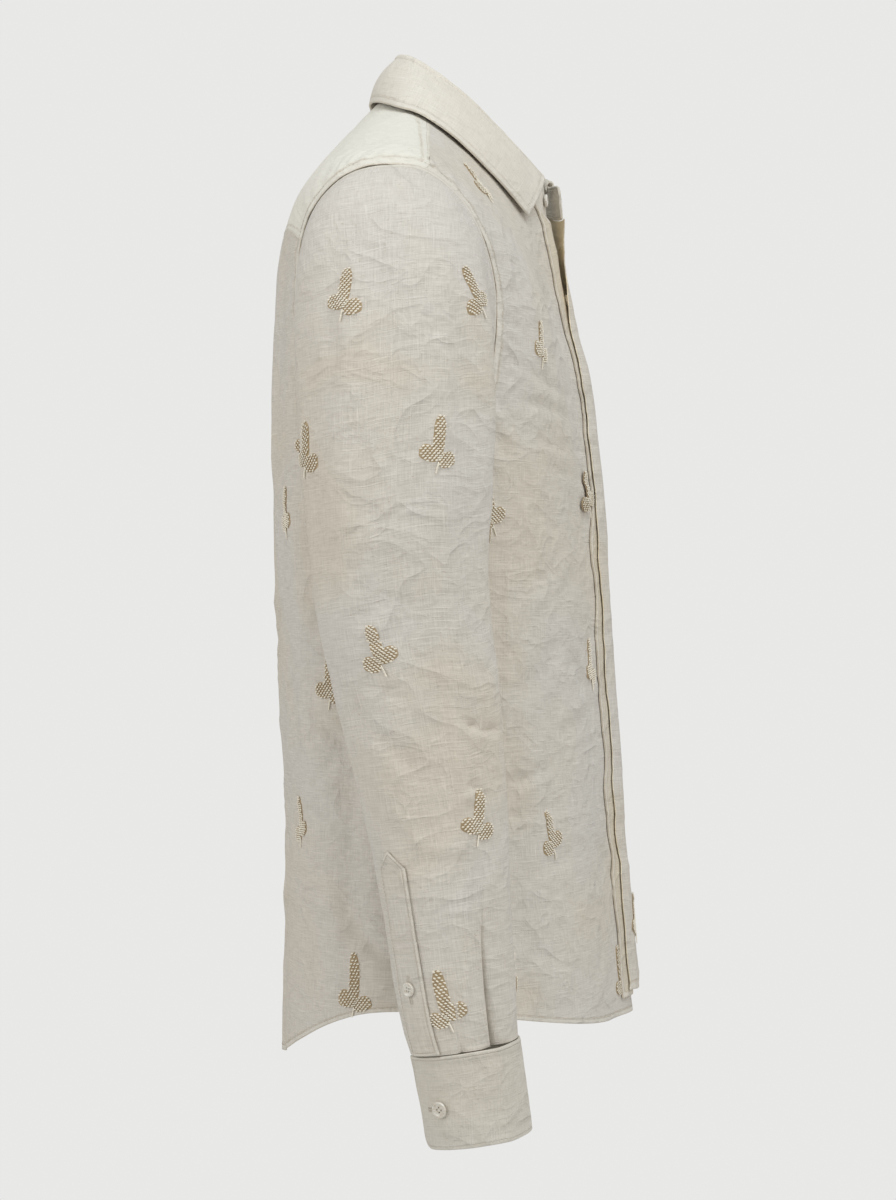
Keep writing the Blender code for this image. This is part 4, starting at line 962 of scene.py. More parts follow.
# How far both skins of a two-ply band come together at a distance from its edge
def rimPull(distance, half):
    inside = np.clip(1 - distance / half, 0.0, 1.0)
    return half * (1 - np.sqrt(1 - inside**2)) * 0.92


# Metric coordinates and edge distances of a grid of points (rows down, columns along)
def gridMeasure(grid):
    along, down = arcLength(grid, 1), arcLength(grid, 0)
    edge = np.minimum(np.minimum(along, along[:, -1:] - along),
                      np.minimum(down, down[-1:, :] - down))
    return np.stack([along, down], axis=-1), edge


def mirroredTo(points, side):
    return points * np.array([side, 1.0, 1.0])


# The strip under the left front's edge. "warm" gives, for the strip and the left front,
# how far past the edge in metres their hidden faces get painted light: a brighter, warmer linen.
strip = {"rows": 150, "columns": 9, "warm": ((0.0025, 0.1), (-0.01, 0.035))}
stripRings = evenly(8.0 - closure["stripLift"] / hemStep, 0.06, strip["rows"])
stripNear = angleAtX(stripEdgeX(stripRings), stripRings)
stripFar = angleAtX(np.full_like(stripRings, closure["stripFar"]), stripRings)
stripShare = np.linspace(0, 1, strip["columns"] + 1)[None, :]
stripAngle = stripNear[:, None] * (1 - stripShare) + stripFar[:, None] * stripShare
stripRing = np.repeat(stripRings[:, None], strip["columns"] + 1, axis=1)
stripPoint, stripNormal = bodySurface(stripAngle, stripRing)
stripPoint = creased(stripPoint, stripNormal, False)
stripUv, stripEdge = gridMeasure(stripPoint)
flyStrip = gridShell(
    "shirt_fly_strip", stripPoint + stripNormal * closure["stripOuter"],
    stripPoint + stripNormal * closure["ply"], stripUv, stripShadeLinen,
    attributes={"band": stripEdge / bandWidths["strip"]})
# Light comes through the real cloth round the opening. This cloth is opaque, so its hidden
# faces there get painted light: a brighter, warmer linen in place of that light.
for piece, facesIn, (start, end) in ((flyStrip, False, strip["warm"][0]),
                                     (panels["front_left"], True, strip["warm"][1])):
    piece.data.materials.append(paintedThroughLightLinen)
    for face in piece.data.polygons:
        past = face.center.x - np.interp(
            face.center.z, stripPoint[:, 0, 2], leftEdgeX(stripRings))
        hidden = (face.normal.y > 0.2 or not facesIn) and face.center.y < -0.05
        face.material_index = int(hidden and start < past < end)

# Columns round the sleeve, closer at the wrist pleat. Pleats: angle at the wrist, lean,
# depth, degrees over which the far side dies away, and the ring where it starts.
sleeveGrid = {"columns": ((-180.0, -48.0, 34), (-48.0, -12.0, 34), (-12.0, 180.0, 54)),
              "pleats": ((-31.0, 1.0, 0.0046, 26.0, 9.3), (4.0, -1.5, 0.0016, 20.0, 10.2))}
sleeveAngles = np.concatenate([evenly(*part)[:-1] for part in sleeveGrid["columns"]])
ringProbe = np.linspace(0.0, 12.0, 241)
probe = sleeveForm(*np.meshgrid(np.linspace(-180, 180, 24, endpoint=False), ringProbe))
probeLength = arcLength(probe, 0).mean(1)
sleeveRows = np.interp(
    np.linspace(0, probeLength[-1], int(probeLength[-1] / meshSpacing)),
    probeLength, ringProbe)
aroundHalf = smoothRead(sleeveRings["depth"], np.clip(sleeveRows - 1, 0, 11))
print("sleeve rows", len(sleeveRows), "columns", len(sleeveAngles))


# Depth of the two wrist pleats: a sharp step on one side that dies away on the other
def pleatDepth(angle, ring):
    depth = 0.0
    for place, lean, deep, fade, top in sleeveGrid["pleats"]:
        off = (angle - place - lean * (12.0 - ring) + 180.0) % 360.0 - 180.0
        side = np.where(off < 0, np.clip(1 + off / fade, 0, 1) ** 1.5, 0.0)
        side *= smoothStep(-off, 0.0, 2.2)
        groove = 0.9 * deep * np.exp(-((off + 1.6) / 1.7) ** 2)
        depth = depth + (deep * side + groove) * smoothStep(ring, top, 11.4)
    return depth


# A point of the left sleeve's outer side in the finished cloth
def sleeveSkin(angle, ring):
    point, normal = sleeveSurface(angle, ring)
    point = creased(point, normal, True)
    return point - normal * pleatDepth(angle, ring)[..., None], normal


def makeSleeve(word, side):
    angle, ring = np.meshgrid(sleeveAngles, sleeveRows)
    point, normal = sleeveSkin(angle, ring)
    down = arcLength(point, 0)
    uv = np.stack([np.radians(angle) * aroundHalf[:, None] * side, down[-1:] - down], axis=-1)
    band = np.minimum(down / bandWidths["arm"], bandFar)
    return gridShell(f"shirt_sleeve_{word}", mirroredTo(point, side),
                     mirroredTo(point - normal * closure["ply"], side), uv, linen, closed=True,
                     attributes={"band": band})


placket = {"foot": 11.98, "wrist": 12.0, "shoulder": 9.22, "point": 9.03, "angleFoot": 43.0,
           "angleHead": 47.0, "halfWidth": 0.0130, "rise": 0.0019, "thick": 0.0012,
           "barRings": (10.02, 10.16), "stitchedAt": 0.86}


# Middle and half width in degrees of the placket at rings, and the width left at its point
def placketLine(rows):
    share = (rows - placket["point"]) / (placket["wrist"] - placket["point"])
    centre = placket["angleHead"] + (placket["angleFoot"] - placket["angleHead"]) * share
    half = np.degrees(placket["halfWidth"] / smoothRead(sleeveRings["depth"], rows - 1))
    tip = np.clip((placket["shoulder"] - rows) / (placket["shoulder"] - placket["point"]), 0, 1)
    return centre, half, 1 - 0.94 * tip


def makePlacket(word, side):
    rows = np.concatenate([evenly(placket["foot"], placket["shoulder"], 44),
                           evenly(placket["shoulder"], placket["point"], 6)[1:]])
    centre, half, taper = placketLine(rows)
    half = half * taper
    across = np.concatenate([[-1, -0.97, -0.9], np.linspace(-0.78, 0.78, 9), [0.9, 0.97, 1]])
    angle = centre[:, None] + half[:, None] * across[None, :]
    ring = np.repeat(rows[:, None], len(across), axis=1)
    point, normal = sleeveSkin(angle, ring)
    uv, edge = gridMeasure(point)
    pull = rimPull(edge, placket["thick"] / 2)[..., None]
    outer = point + normal * (placket["rise"] - pull)
    inner = point + normal * (placket["rise"] - placket["thick"] + pull)
    return gridShell(
        f"shirt_sleeve_placket_{word}", mirroredTo(outer, side), mirroredTo(inner, side),
        uv * [side, -1], linen, attributes={"band": edge / bandWidths["narrow"]})


cuffs = {"top": (0.2535, -0.0300, 0.0370, 0.0390), "foot": (0.2535, -0.0400, 0.0350, 0.0370),
         "topZ": -0.6940, "height": 0.0645, "lean": 0.16, "endAngle": 80.0, "lap": 40.0,
         "lapRise": 0.0030, "corner": 0.012, "thick": 0.0020, "facet": (33.0, 24.0, 0.0030),
         "waves": ((0.0010, 30.0, 21.0), (0.0003, 90.0, 4.0))}


def cuffForm(angle, share):
    angle, share = np.broadcast_arrays(np.asarray(angle, float), np.asarray(share, float))
    top, foot = np.array(cuffs["top"]), np.array(cuffs["foot"])
    size = top + (foot - top) * share[..., None]
    turn = np.radians(angle)
    x = size[..., 0] + size[..., 2] * np.cos(turn)
    y = size[..., 1] + size[..., 3] * np.sin(turn)
    z = cuffs["topZ"] - cuffs["height"] * share - (y - size[..., 1]) * cuffs["lean"]
    return np.stack([x, y, z], axis=-1)


def cuffSurface(angle, share, rise=0.0):
    normal = outwardOf(cuffForm, np.asarray(angle, float), np.asarray(share, float), 2.0, 0.02)
    point = cuffForm(angle, share) + normal * np.asarray(rise, float)[..., None]
    place, halfWidth, high = cuffs["facet"]
    off = (angle + place + 180.0) % 360.0 - 180.0
    wave = waves(point, cuffs["waves"])
    wave = wave + high * np.clip(1 - np.abs(off) / halfWidth, 0, 1) ** 1.3
    return point + normal * wave[..., None], normal


# How much a rounded corner takes off at a distance from the end
def cornerShare(distance, radius):
    inside = np.clip(1 - distance / radius, 0.0, 1.0)
    return radius * (1 - np.sqrt(1 - inside**2))


# Hollow along the rows of topstitching near a band's edge
def stitchedHollow(edge, places=(0.0022,), deep=0.00022, wide=0.0006):
    return sum(deep * np.exp(-((edge - place) / wide) ** 2) for place in places)


# Points and normals of a cuff at shares of its length, from the upper end, and of its height
def cuffGridOf(total, passed, rows):
    length = passed * total
    cut = cornerShare(length, cuffs["corner"]) + cornerShare(total - length, cuffs["corner"])
    sink = -cuffs["lapRise"] * smoothStep(passed, 0.70, 0.885) * np.ones((len(rows), 1))
    angle = cuffs["endAngle"] - passed * (360.0 + cuffs["lap"]) * np.ones((len(rows), 1))
    return cuffSurface(angle, rows[:, None] * (1 - cut / cuffs["height"])[None, :], sink)


cuffTotal = math.radians(360.0 + cuffs["lap"]) * cuffs["top"][2]


def makeCuff(word, side):
    point, normal = cuffGridOf(cuffTotal, edgedShares(cuffTotal, 0.0024),
                               edgedShares(cuffs["height"], 0.0024))
    uv, edge = gridMeasure(point)
    pull = rimPull(edge, cuffs["thick"] / 2)[..., None]
    hollow = stitchedHollow(edge, (0.0022, 0.0075))[..., None]
    return gridShell(
        f"shirt_cuff_{word}", mirroredTo(point - normal * (pull + hollow), side),
        mirroredTo(point - normal * (cuffs["thick"] - pull), side), uv * [side, -1],
        cuffShadeLinen, attributes={"band": edge / bandWidths["narrow"]})


sleevePieces = {}
for word, side in (("right", -1), ("left", 1)):
    sleevePieces[f"sleeve_{word}"] = makeSleeve(word, side)
    sleevePieces[f"sleeve_placket_{word}"] = makePlacket(word, side)
    sleevePieces[f"cuff_{word}"] = makeCuff(word, side)
print("sleeves, plackets and cuffs ready")

collar = {
    "columns": ("angle", "foldX", "foldY", "foldZ", "edgeAngle", "edgeRing"),
    "rows": (
        (180.0, 0.0000, 0.0230, 0.0370, 180.0, 0.255),
        (150.0, 0.0320, 0.0190, 0.0350, 150.0, 0.285),
        (120.0, 0.0530, 0.0060, 0.0270, 118.0, 0.410),
        (90.0, 0.0620, -0.0150, 0.0120, 86.0, 0.730),
        (60.0, 0.0600, -0.0420, -0.0110, 65.0, 0.960),
        (30.0, 0.0450, -0.0700, -0.0370, 46.0, 0.960),
        (12.0, 0.0190, -0.0920, -0.0560, 32.5, 0.920),
    ),
    "end": 12.0, "front": (-0.0945, -0.0575), "belly": 0.0030, "standOff": 0.0006,
    "edgeRise": 0.0026, "inset": 0.0012, "corner": 0.010, "axis": (0.0, -0.028),
    "buttonAngle": -9.0, "thick": 0.0020, "rolled": 11,
    "waves": ((0.0006, 30.0, 31.0), (0.00025, 95.0, 12.0)),
}
collarTable = readTable(collar["rows"], collar["columns"])


# The collar's fold line and the fall's edge at an angle from the front, right side below 0
def collarLines(angle):
    size = np.abs(angle)
    place = np.interp(size, collarTable["angle"][::-1], np.arange(len(collar["rows"]))[::-1])
    x, y, z, edgeAngle, edgeRing = (
        smoothRead(collarTable[name], place) for name in collar["columns"][1:])
    front = np.clip(size / collar["end"], 0.0, 1.0)
    x, (frontY, frontZ) = x * front, collar["front"]
    y = frontY + (y - frontY) * front
    z = frontZ + (z - frontZ) * front
    side = np.sign(angle)
    edge = bodySurface(side * edgeAngle, edgeRing, np.full_like(size, collar["edgeRise"]))[0]
    return np.stack([x * side, y, z], axis=-1), edge


# Level directions away from the middle of the neck
def fromNeckAxis(points):
    away = points - np.array([*collar["axis"], 0.0])
    away[..., 2] = 0
    return away / np.linalg.norm(away, axis=-1, keepdims=True)


# The collar's left end stands off with the left front
def lapRise(angle, onLeft):
    neck = bodyForm(angle, np.zeros_like(angle))
    atFront = onLeft & (neck[:, 1] < collar["axis"][1])
    return np.where(atFront, standOff(neck[:, 0], 0.0), 0.0)


# The fall's profile starts inside the stand, rolls over its top and comes down outside
def makeCollarFall():
    half = np.concatenate([[12.0, 12.25, 12.7], evenly(13.6, 180.0, 118)])
    angles = np.concatenate([-half, half[::-1][1:]])
    middle = len(half) - 1
    fold, edge = collarLines(angles)
    edge[middle, 0] = 0.0
    away = fromNeckAxis(fold)
    lift = collar["standOff"] + lapRise(angles, angles > 0)
    top = fold + away * lift[:, None]
    share = edgedShares(0.060, 0.0022, (0.0, 0.0007, 0.0016))[:, None, None]
    grid = top[None] * (1 - share) + edge[None] * share
    bulge = collar["belly"] * np.sin(np.pi * share)
    grid = grid + away[None] * bulge
    grid[..., 2] += bulge[..., 0]
    inset = collar["inset"] + collar["thick"] + 0.0003
    radius = (inset + collar["standOff"]) / 2
    middleTop = top - away * radius
    turns = np.radians(np.linspace(180, 0, 10))[:-1]
    roll = np.stack([middleTop + away * (radius * math.cos(t)) + np.array(
        [0, 0, radius * 1.25 * math.sin(t)]) for t in turns])
    tail = np.stack([roll[0] - np.array([0, 0, drop]) for drop in (0.0040, 0.0020)])
    grid = np.concatenate([tail, roll, grid])
    wave = waves(grid, collar["waves"])
    along, down = np.gradient(grid, axis=1), np.gradient(grid, axis=0)
    normal = np.cross(along, down)
    normal /= np.linalg.norm(normal, axis=-1, keepdims=True)
    normal *= np.sign(normal[len(tail) + len(roll) + 3, middle, 1])
    grid = grid + normal * np.maximum(wave, -0.0004)[..., None]
    uv, rim = gridMeasure(grid)
    pull = rimPull(rim, collar["thick"] / 2)[..., None]
    hollow = stitchedHollow(rim, (0.0050,))[..., None]
    made = gridShell("shirt_collar_fall", grid + normal * (collar["thick"] - pull - hollow),
                     grid + normal * pull, uv * [1, -1], bandLinen,
                     attributes={"band": rim / bandWidths["collarFall"]})
    return made, grid, normal


# The stand runs from the neck seam up to the fold, from its right end round to the left
def makeCollarStand():
    start = angleAtX(rightEdgeX(0.0), 0.0)
    stop = angleAtX(leftEdgeX(0.0), 0.0)
    angles = start + (stop - 360.0 - start) * edgedShares(0.42, 0.0021)
    folded = (angles + 180.0) % 360.0 - 180.0
    rise = lapRise(folded, np.arange(len(angles)) > len(angles) // 2)
    foot = bodySurface(angles, np.zeros_like(angles), rise)[0] + np.array([0.0, 0.0, 0.0003])
    fold = collarLines(folded)[0]
    away = fromNeckAxis(foot)
    fold = fold + away * (rise - collar["inset"])[:, None]
    length = arcLength(foot, 0)
    cut = sum(cornerShare(off, collar["corner"]) for off in (length, length[-1] - length))
    reach = 1 - cut / np.linalg.norm(fold - foot, axis=1)
    share = edgedShares(0.034, 0.0020)[:, None, None] * reach[None, :, None]
    grid = foot[None] * (1 - share) + fold[None] * share
    away = np.repeat(away[None], len(grid), axis=0)
    uv, rim = gridMeasure(grid)
    pull = rimPull(rim, collar["thick"] / 2)[..., None]
    hollow = stitchedHollow(rim, (0.0022,))[..., None]
    made = gridShell("shirt_collar_stand", grid - away * (pull + hollow),
                     grid - away * (collar["thick"] - pull), uv, bandLinen,
                     attributes={"band": rim / bandWidths["narrow"]})
    return made, grid, away


collarFall, fallGrid, fallNormal = makeCollarFall()
collarStand, standGrid, standAway = makeCollarStand()
print("collar ready")

# One thread stitch stands on every point: long along "along", its top facing "up"
def stitchGroup():
    group = bpy.data.node_groups.new("stitches_on_points", "GeometryNodeTree")
    face = group.interface
    face.new_socket("Points", in_out="INPUT", socket_type="NodeSocketGeometry")
    face.new_socket("Thread", in_out="INPUT", socket_type="NodeSocketMaterial")
    for title, value in (("Length", 0.0024), ("Width", 0.0005), ("Height", 0.0004),
                         ("Unevenness", 0.12)):
        face.new_socket(title, in_out="INPUT", socket_type="NodeSocketFloat").default_value = value
    face.new_socket("Seed", in_out="INPUT", socket_type="NodeSocketInt").default_value = 7
    face.new_socket("Stitches", in_out="OUTPUT", socket_type="NodeSocketGeometry")
    given = group.nodes.new("NodeGroupInput").outputs
    up, along = (
        addNode(group, "GeometryNodeInputNamedAttribute", {"data_type": "FLOAT_VECTOR"},
                Name=name).outputs["Attribute"] for name in ("up", "along"))
    lay = addNode(group, "FunctionNodeAlignRotationToVector", {"axis": "Z"}, Vector=up)
    lay = addNode(group, "FunctionNodeAlignRotationToVector", {"axis": "X", "pivot_axis": "Z"},
                  Rotation=lay.outputs["Rotation"], Vector=along)
    ball = addNode(group, "GeometryNodeMeshUVSphere", Segments=5, Rings=3, Radius=0.5)
    ball = addNode(group, "GeometryNodeTransform", Geometry=ball.outputs["Mesh"],
                   Rotation=(0.0, math.radians(90), 0.0))
    least = mathNode(group, "SUBTRACT", 1.0, given["Unevenness"])
    # i2 and i3 are the lowest and highest value among the sockets for plain numbers
    vary = addNode(group, "FunctionNodeRandomValue", {"data_type": "FLOAT"},
                   i2=least, i3=1.0, Seed=given["Seed"])
    chance = next(s for s in vary.outputs if s.type == "VALUE" and s.enabled)
    size = addNode(group, "ShaderNodeCombineXYZ", X=given["Length"], Y=given["Width"],
                   Z=given["Height"])
    size = addNode(group, "ShaderNodeVectorMath", {"operation": "SCALE"},
                   i0=size.outputs[0], Scale=chance)
    stand = addNode(group, "GeometryNodeInstanceOnPoints", Points=given["Points"],
                    Instance=ball.outputs["Geometry"], Rotation=lay.outputs["Rotation"],
                    Scale=size.outputs[0])
    real = addNode(group, "GeometryNodeRealizeInstances", Geometry=stand.outputs["Instances"])
    paint = addNode(group, "GeometryNodeSetMaterial", Geometry=real.outputs["Geometry"],
                    Material=given["Thread"])
    addNode(group, "NodeGroupOutput", Stitches=paint.outputs["Geometry"])
    return group


stitchesOnPoints = stitchGroup()


# One mesh of thread stitches at middles, in directions, with their tops facing up
def sew(name, middles, alongs, ups, thread, **settings):
    mesh = bpy.data.meshes.new(name)
    mesh.from_pydata([tuple(p) for p in middles], [], [])
    for key, values in (("along", alongs), ("up", ups)):
        mesh.attributes.new(key, "FLOAT_VECTOR", "POINT").data.foreach_set(
            "vector", np.asarray(values, np.float32).ravel())
    carrier = addObject(name + "_points", mesh)
    modifier = carrier.modifiers.new("stitches", "NODES")
    modifier.node_group = stitchesOnPoints
    sockets = {item.name: item.identifier for item in stitchesOnPoints.interface.items_tree
               if item.in_out == "INPUT"}
    modifier[sockets["Thread"]] = thread
    for title, value in settings.items():
        modifier[sockets[title.capitalize()]] = value
    depsgraph = bpy.context.evaluated_depsgraph_get()
    made = bpy.data.meshes.new_from_object(carrier.evaluated_get(depsgraph))
    made.name = name
    made.shade_smooth()
    bpy.data.objects.remove(carrier)
    print(name, len(middles), "stitches", len(made.polygons), "faces")
    return addObject(name, made)


# Middles, directions and tops of stitches at an even pitch along a line of points
def stitchesAlong(points, ups, pitch):
    length = arcLength(points, 0)
    places = np.arange(pitch / 2, length[-1], pitch)
    ahead = np.minimum(places + pitch * 0.3, length[-1])
    def at(values, where):
        return np.stack([np.interp(where, length, values[:, i]) for i in range(3)], axis=-1)
    middle, front = at(points, places), at(points, ahead)
    return middle, front - middle, at(ups, places)


# A point of the body's outer side in the finished cloth, lifted off it
def bodySkin(angle, ring, lift=0.0):
    point, normal = bodySurface(angle, ring)
    point = creased(point, normal, False)
    return point + normal * np.asarray(lift, float)[..., None], normal


# A stitch line at a distance inside one boundary piece of a panel
def bodyStitchLine(angles, ringsAlong, inset, centre, rise):
    flat = flatten(np.stack([angles, ringsAlong], axis=-1), centre)
    run = np.gradient(flat, axis=0)
    run /= np.linalg.norm(run, axis=-1, keepdims=True)
    moved = flat + np.stack([-run[:, 1], run[:, 0]], axis=-1) * inset
    domain = unflatten(moved, centre)
    angle, ring = domain[:, 0], domain[:, 1]
    return bodySkin(angle, ring, rise(angle, ring) + seamLift)


seams, seamPitch, seamLift = [], 0.0028, 0.00012


# Rows of stitches at insets inside the boundary pieces of a panel that have these tags
def seamOf(pieces, tags, insets, centre, rise):
    middle = flatten(np.concatenate([np.stack(p[:2], axis=-1) for p in pieces]), centre).mean(0)
    for angles, ringsAlong, tag in pieces:
        if tag not in tags:
            continue
        flat = flatten(np.stack([angles, ringsAlong], axis=-1), centre)
        run, half = flat[-1] - flat[0], len(flat) // 2
        side = np.sign(run[0] * (middle - flat[half])[1] - run[1] * (middle - flat[half])[0])
        for inset in insets:
            line = bodyStitchLine(angles, ringsAlong, inset * side, centre, rise)
            seams.append(stitchesAlong(*line, seamPitch))


seamInsets = {"hem": (0.0062,), "arm": (0.0075,), "side": (0.0012, 0.0070), "edge": (0.0300,),
              "yoke": (0.0014,)}
for pieces, tags, centre, rise in (
        (frontPieces(-1), ("hem", "arm", "side"), 0.0, noRise),
        (frontPieces(1), ("hem", "arm", "side", "edge"), 0.0, leftRise),
        (backPieces(), ("hem", "arm"), 180.0, noRise)):
    for tag in tags:
        seamOf(pieces, (tag,), seamInsets[tag], centre, rise)
seamOf(yokePieces(), ("back", "front"), seamInsets["yoke"], 180.0, noRise)
seamOf(yokePieces(), ("arm",), seamInsets["arm"], 180.0, noRise)
print("body seams", sum(len(s[0]) for s in seams))


# A line inside one edge of a grid of points ("foot", "head", "start" or "end")
def insetLine(grid, normals, inset, edge, lift):
    if edge in ("start", "end"):
        grid, normals = grid.transpose(1, 0, 2), normals.transpose(1, 0, 2)
    if edge in ("head", "start"):
        grid, normals = grid[::-1], normals[::-1]
    down, along = arcLength(grid, 0), arcLength(grid, 1)
    total = down[-1]
    reach = np.minimum(along, along[:, -1:] - along)
    line, ups = [], []
    for i in range(grid.shape[1]):
        place = np.interp(total[i] - inset, down[:, i], np.arange(len(grid)))
        low = min(int(place), len(grid) - 2)
        if reach[low, i] < inset or total[i] < 2 * inset:
            continue
        share = place - low
        line.append(grid[low, i] * (1 - share) + grid[low + 1, i] * share)
        ups.append(normals[low, i])
    line, ups = np.array(line), np.array(ups)
    return line + ups * lift, ups


# Rows of stitches on the bands: edge and inset of each row, then the stitches' pitch and
# their lift off the middle surface, in metres
bandSewing = {
    "cuff": ((("foot", 0.0020), ("foot", 0.0072), ("head", 0.0020), ("start", 0.0020)),
             0.0026, -0.00012),
    "stand": ((("foot", 0.0020), ("start", 0.0020), ("end", 0.0020)), 0.0024, 0.0),
    "fall": ((("foot", 0.0050), ("start", 0.0050), ("end", 0.0050)), 0.0024, -0.00010),
    "placket": (0.0026, 0.0022, 0.00010), "standOut": 0.00008,
}
bandSeams = []


def sewBand(band, grid, normals, side=1):
    rows, pitch, lift = bandSewing[band]
    for edge, inset in rows:
        line, ups = insetLine(grid, normals, inset, edge, lift)
        bandSeams.append(stitchesAlong(mirroredTo(line, side), mirroredTo(ups, side), pitch))


for side in (-1, 1):
    cuffGrid, cuffNormal = cuffGridOf(cuffTotal, np.linspace(0, 1, 170), np.linspace(0, 1, 30))
    sewBand("cuff", cuffGrid, cuffNormal, side)
    edgePitch, barPitch, lift = bandSewing["placket"]
    rows, at = evenly(placket["foot"], placket["point"], 60), placket["stitchedAt"]
    centre, half, taper = placketLine(rows)
    runs = [((centre + across * half * taper * at)[:-2], rows[:-2], edgePitch)
            for across in (-1, 1)]
    for ring in placket["barRings"]:
        angle = np.linspace(-at, at, 14) * np.interp(-ring, -rows, half)
        angle = angle + np.interp(-ring, -rows, centre)
        runs.append((angle, np.full_like(angle, ring), barPitch))
    for angle, ringsAlong, pitch in runs:
        point, normal = sleeveSkin(angle, ringsAlong)
        bandSeams.append(stitchesAlong(
            mirroredTo(point + normal * (placket["rise"] + lift), side),
            mirroredTo(normal, side), pitch))
sewBand("stand", standGrid + standAway * bandSewing["standOut"], standAway)
# The outer leaf of the fall, past its rolled top
sewBand("fall", (fallGrid + fallNormal * collar["thick"])[collar["rolled"]:],
        fallNormal[collar["rolled"]:])
print("band seams", sum(len(s[0]) for s in bandSeams))


# The embroidered sprig, in millimetres: petals as middle, half sizes and turn to the left.
# Sizes and lifts of its stitches and of the dark sheet of painted shade under them are in metres.
sprig = {
    "petals": ((1.4, 12.6, 13.6, 4.4, 84.0), (-5.6, 1.6, 7.4, 5.2, 158.0),
               (6.6, -3.0, 7.2, 5.2, 22.0)),
    "cell": (2.9, 3.2), "stem": ((-0.2, -5.5), (-1.8, -12.0)),
    "stitch": {"length": 0.0027, "width": 0.00155, "height": 0.00110,
               "unevenness": 0.18, "seed": 11},
    "threadLift": 0.00100, "shadeSheetLift": 0.00045,
}


# Half width of a petal along its length, both from -1 to 1
def petalEdge(t):
    return np.sqrt(np.clip(1 - np.abs(t) ** 3.6, 0, 1)) * (1 + 0.05 * t)


# Stitches of one sprig in metres: middles and ends, and grids for the dark sheet of painted shade
# under them
def sprigDrawing():
    middles, fronts, patches = [], [], []
    cellX, cellY = sprig["cell"]
    for x, y, long, wide, turn in sprig["petals"]:
        c, s = math.cos(math.radians(turn)), math.sin(math.radians(turn))
        for row in range(-14, 15):
            for column in range(-8, 9):
                mx, my = (column + 0.5 * (row % 2)) * cellX, row * cellY / 2
                t, w = (mx * c + my * s) / long, (-mx * s + my * c) / wide
                if abs(t) < 0.97 and abs(w) < petalEdge(t) * 0.98:
                    middles.append((x + mx, y + my))
                    fronts.append((1.0, 0.55 if (row + column) % 2 else 0.15))
        t, w = np.meshgrid(np.linspace(-1, 1, 19), np.linspace(-1, 1, 7))
        w = w * petalEdge(t * 0.999)
        patches.append(np.stack([x + t * long * c - w * wide * s,
                                 y + t * long * s + w * wide * c], axis=-1))
    (ax, ay), (bx, by) = sprig["stem"]
    for share in np.linspace(0, 1, 6):
        middles.append((ax + (bx - ax) * share, ay + (by - ay) * share))
        fronts.append((bx - ax, by - ay))
    return np.array(middles) / 1000, np.array(fronts) / 1000, [p / 1000 for p in patches]


sprigMiddles, sprigFronts, sprigPatches = sprigDrawing()
print("sprig stitches", len(sprigMiddles))


# Places a flat drawing upright on a skin about a spot, as seen from outside
def onSkin(skin, spot, side, drawing, turn, flip):
    angle, ring = (np.array([value]) for value in spot)
    point, normal = skin(angle, ring)
    stepAngle = (skin(angle + 0.5, ring)[0] - point)[0] / 0.5
    stepRing = (skin(angle, ring + 0.05)[0] - point)[0] / 0.05
    normal = normal[0]
    up = np.array([0.0, 0.0, 1.0]) - normal[2] * normal
    up /= np.linalg.norm(up)
    right = np.cross(up, normal) * side
    c, s = math.cos(math.radians(turn)), math.sin(math.radians(turn))
    a = (drawing[..., 0] * flip) * c - drawing[..., 1] * s
    b = (drawing[..., 0] * flip) * s + drawing[..., 1] * c
    target = a[..., None] * right + b[..., None] * up
    solve = np.linalg.pinv(np.stack([stepAngle, stepRing], axis=-1))
    change = target @ solve.T
    return spot[0] + change[..., 0], spot[1] + change[..., 1]


# The sprigs of one piece: a dark sheet of painted shade under the petals, and the raised thread on
# it
def stitchSprigs(name, skin, spots, side=1):
    middles, alongs, ups = [], [], []
    patchPoints, patchFaces = [], []
    for spotAngle, spotRing, turn, flip in spots:
        def place(drawing, lift):
            angle, ring = onSkin(skin, (spotAngle, spotRing), side, drawing, turn, flip)
            point, normal = skin(angle, ring)
            return mirroredTo(point + normal * lift, side), mirroredTo(normal, side)
        point, normal = place(sprigMiddles, sprig["threadLift"])
        ahead = place(sprigMiddles + sprigFronts * 0.3, sprig["threadLift"])[0]
        middles.append(point)
        alongs.append(ahead - point)
        ups.append(normal)
        for patch in sprigPatches:
            point, normal = place(patch, sprig["shadeSheetLift"])
            point[[0, -1]] -= normal[[0, -1]] * sprig["shadeSheetLift"]
            point[:, [0, -1]] -= normal[:, [0, -1]] * sprig["shadeSheetLift"]
            start = sum(len(p) for p in patchPoints)
            patchPoints.append(point.reshape(-1, 3))
            patchFaces += [tuple(start + i for i in face) for face in gridFaces(*patch.shape[:2])]
    points = np.concatenate(patchPoints)
    ground = makePiece(name + "_ground", points, patchFaces, points[:, :2], stitchShadeSheet)
    sewn = sew(name + "_thread", np.concatenate(middles), np.concatenate(alongs),
               np.concatenate(ups), threadLight, **sprig["stitch"])
    return [ground, sewn]


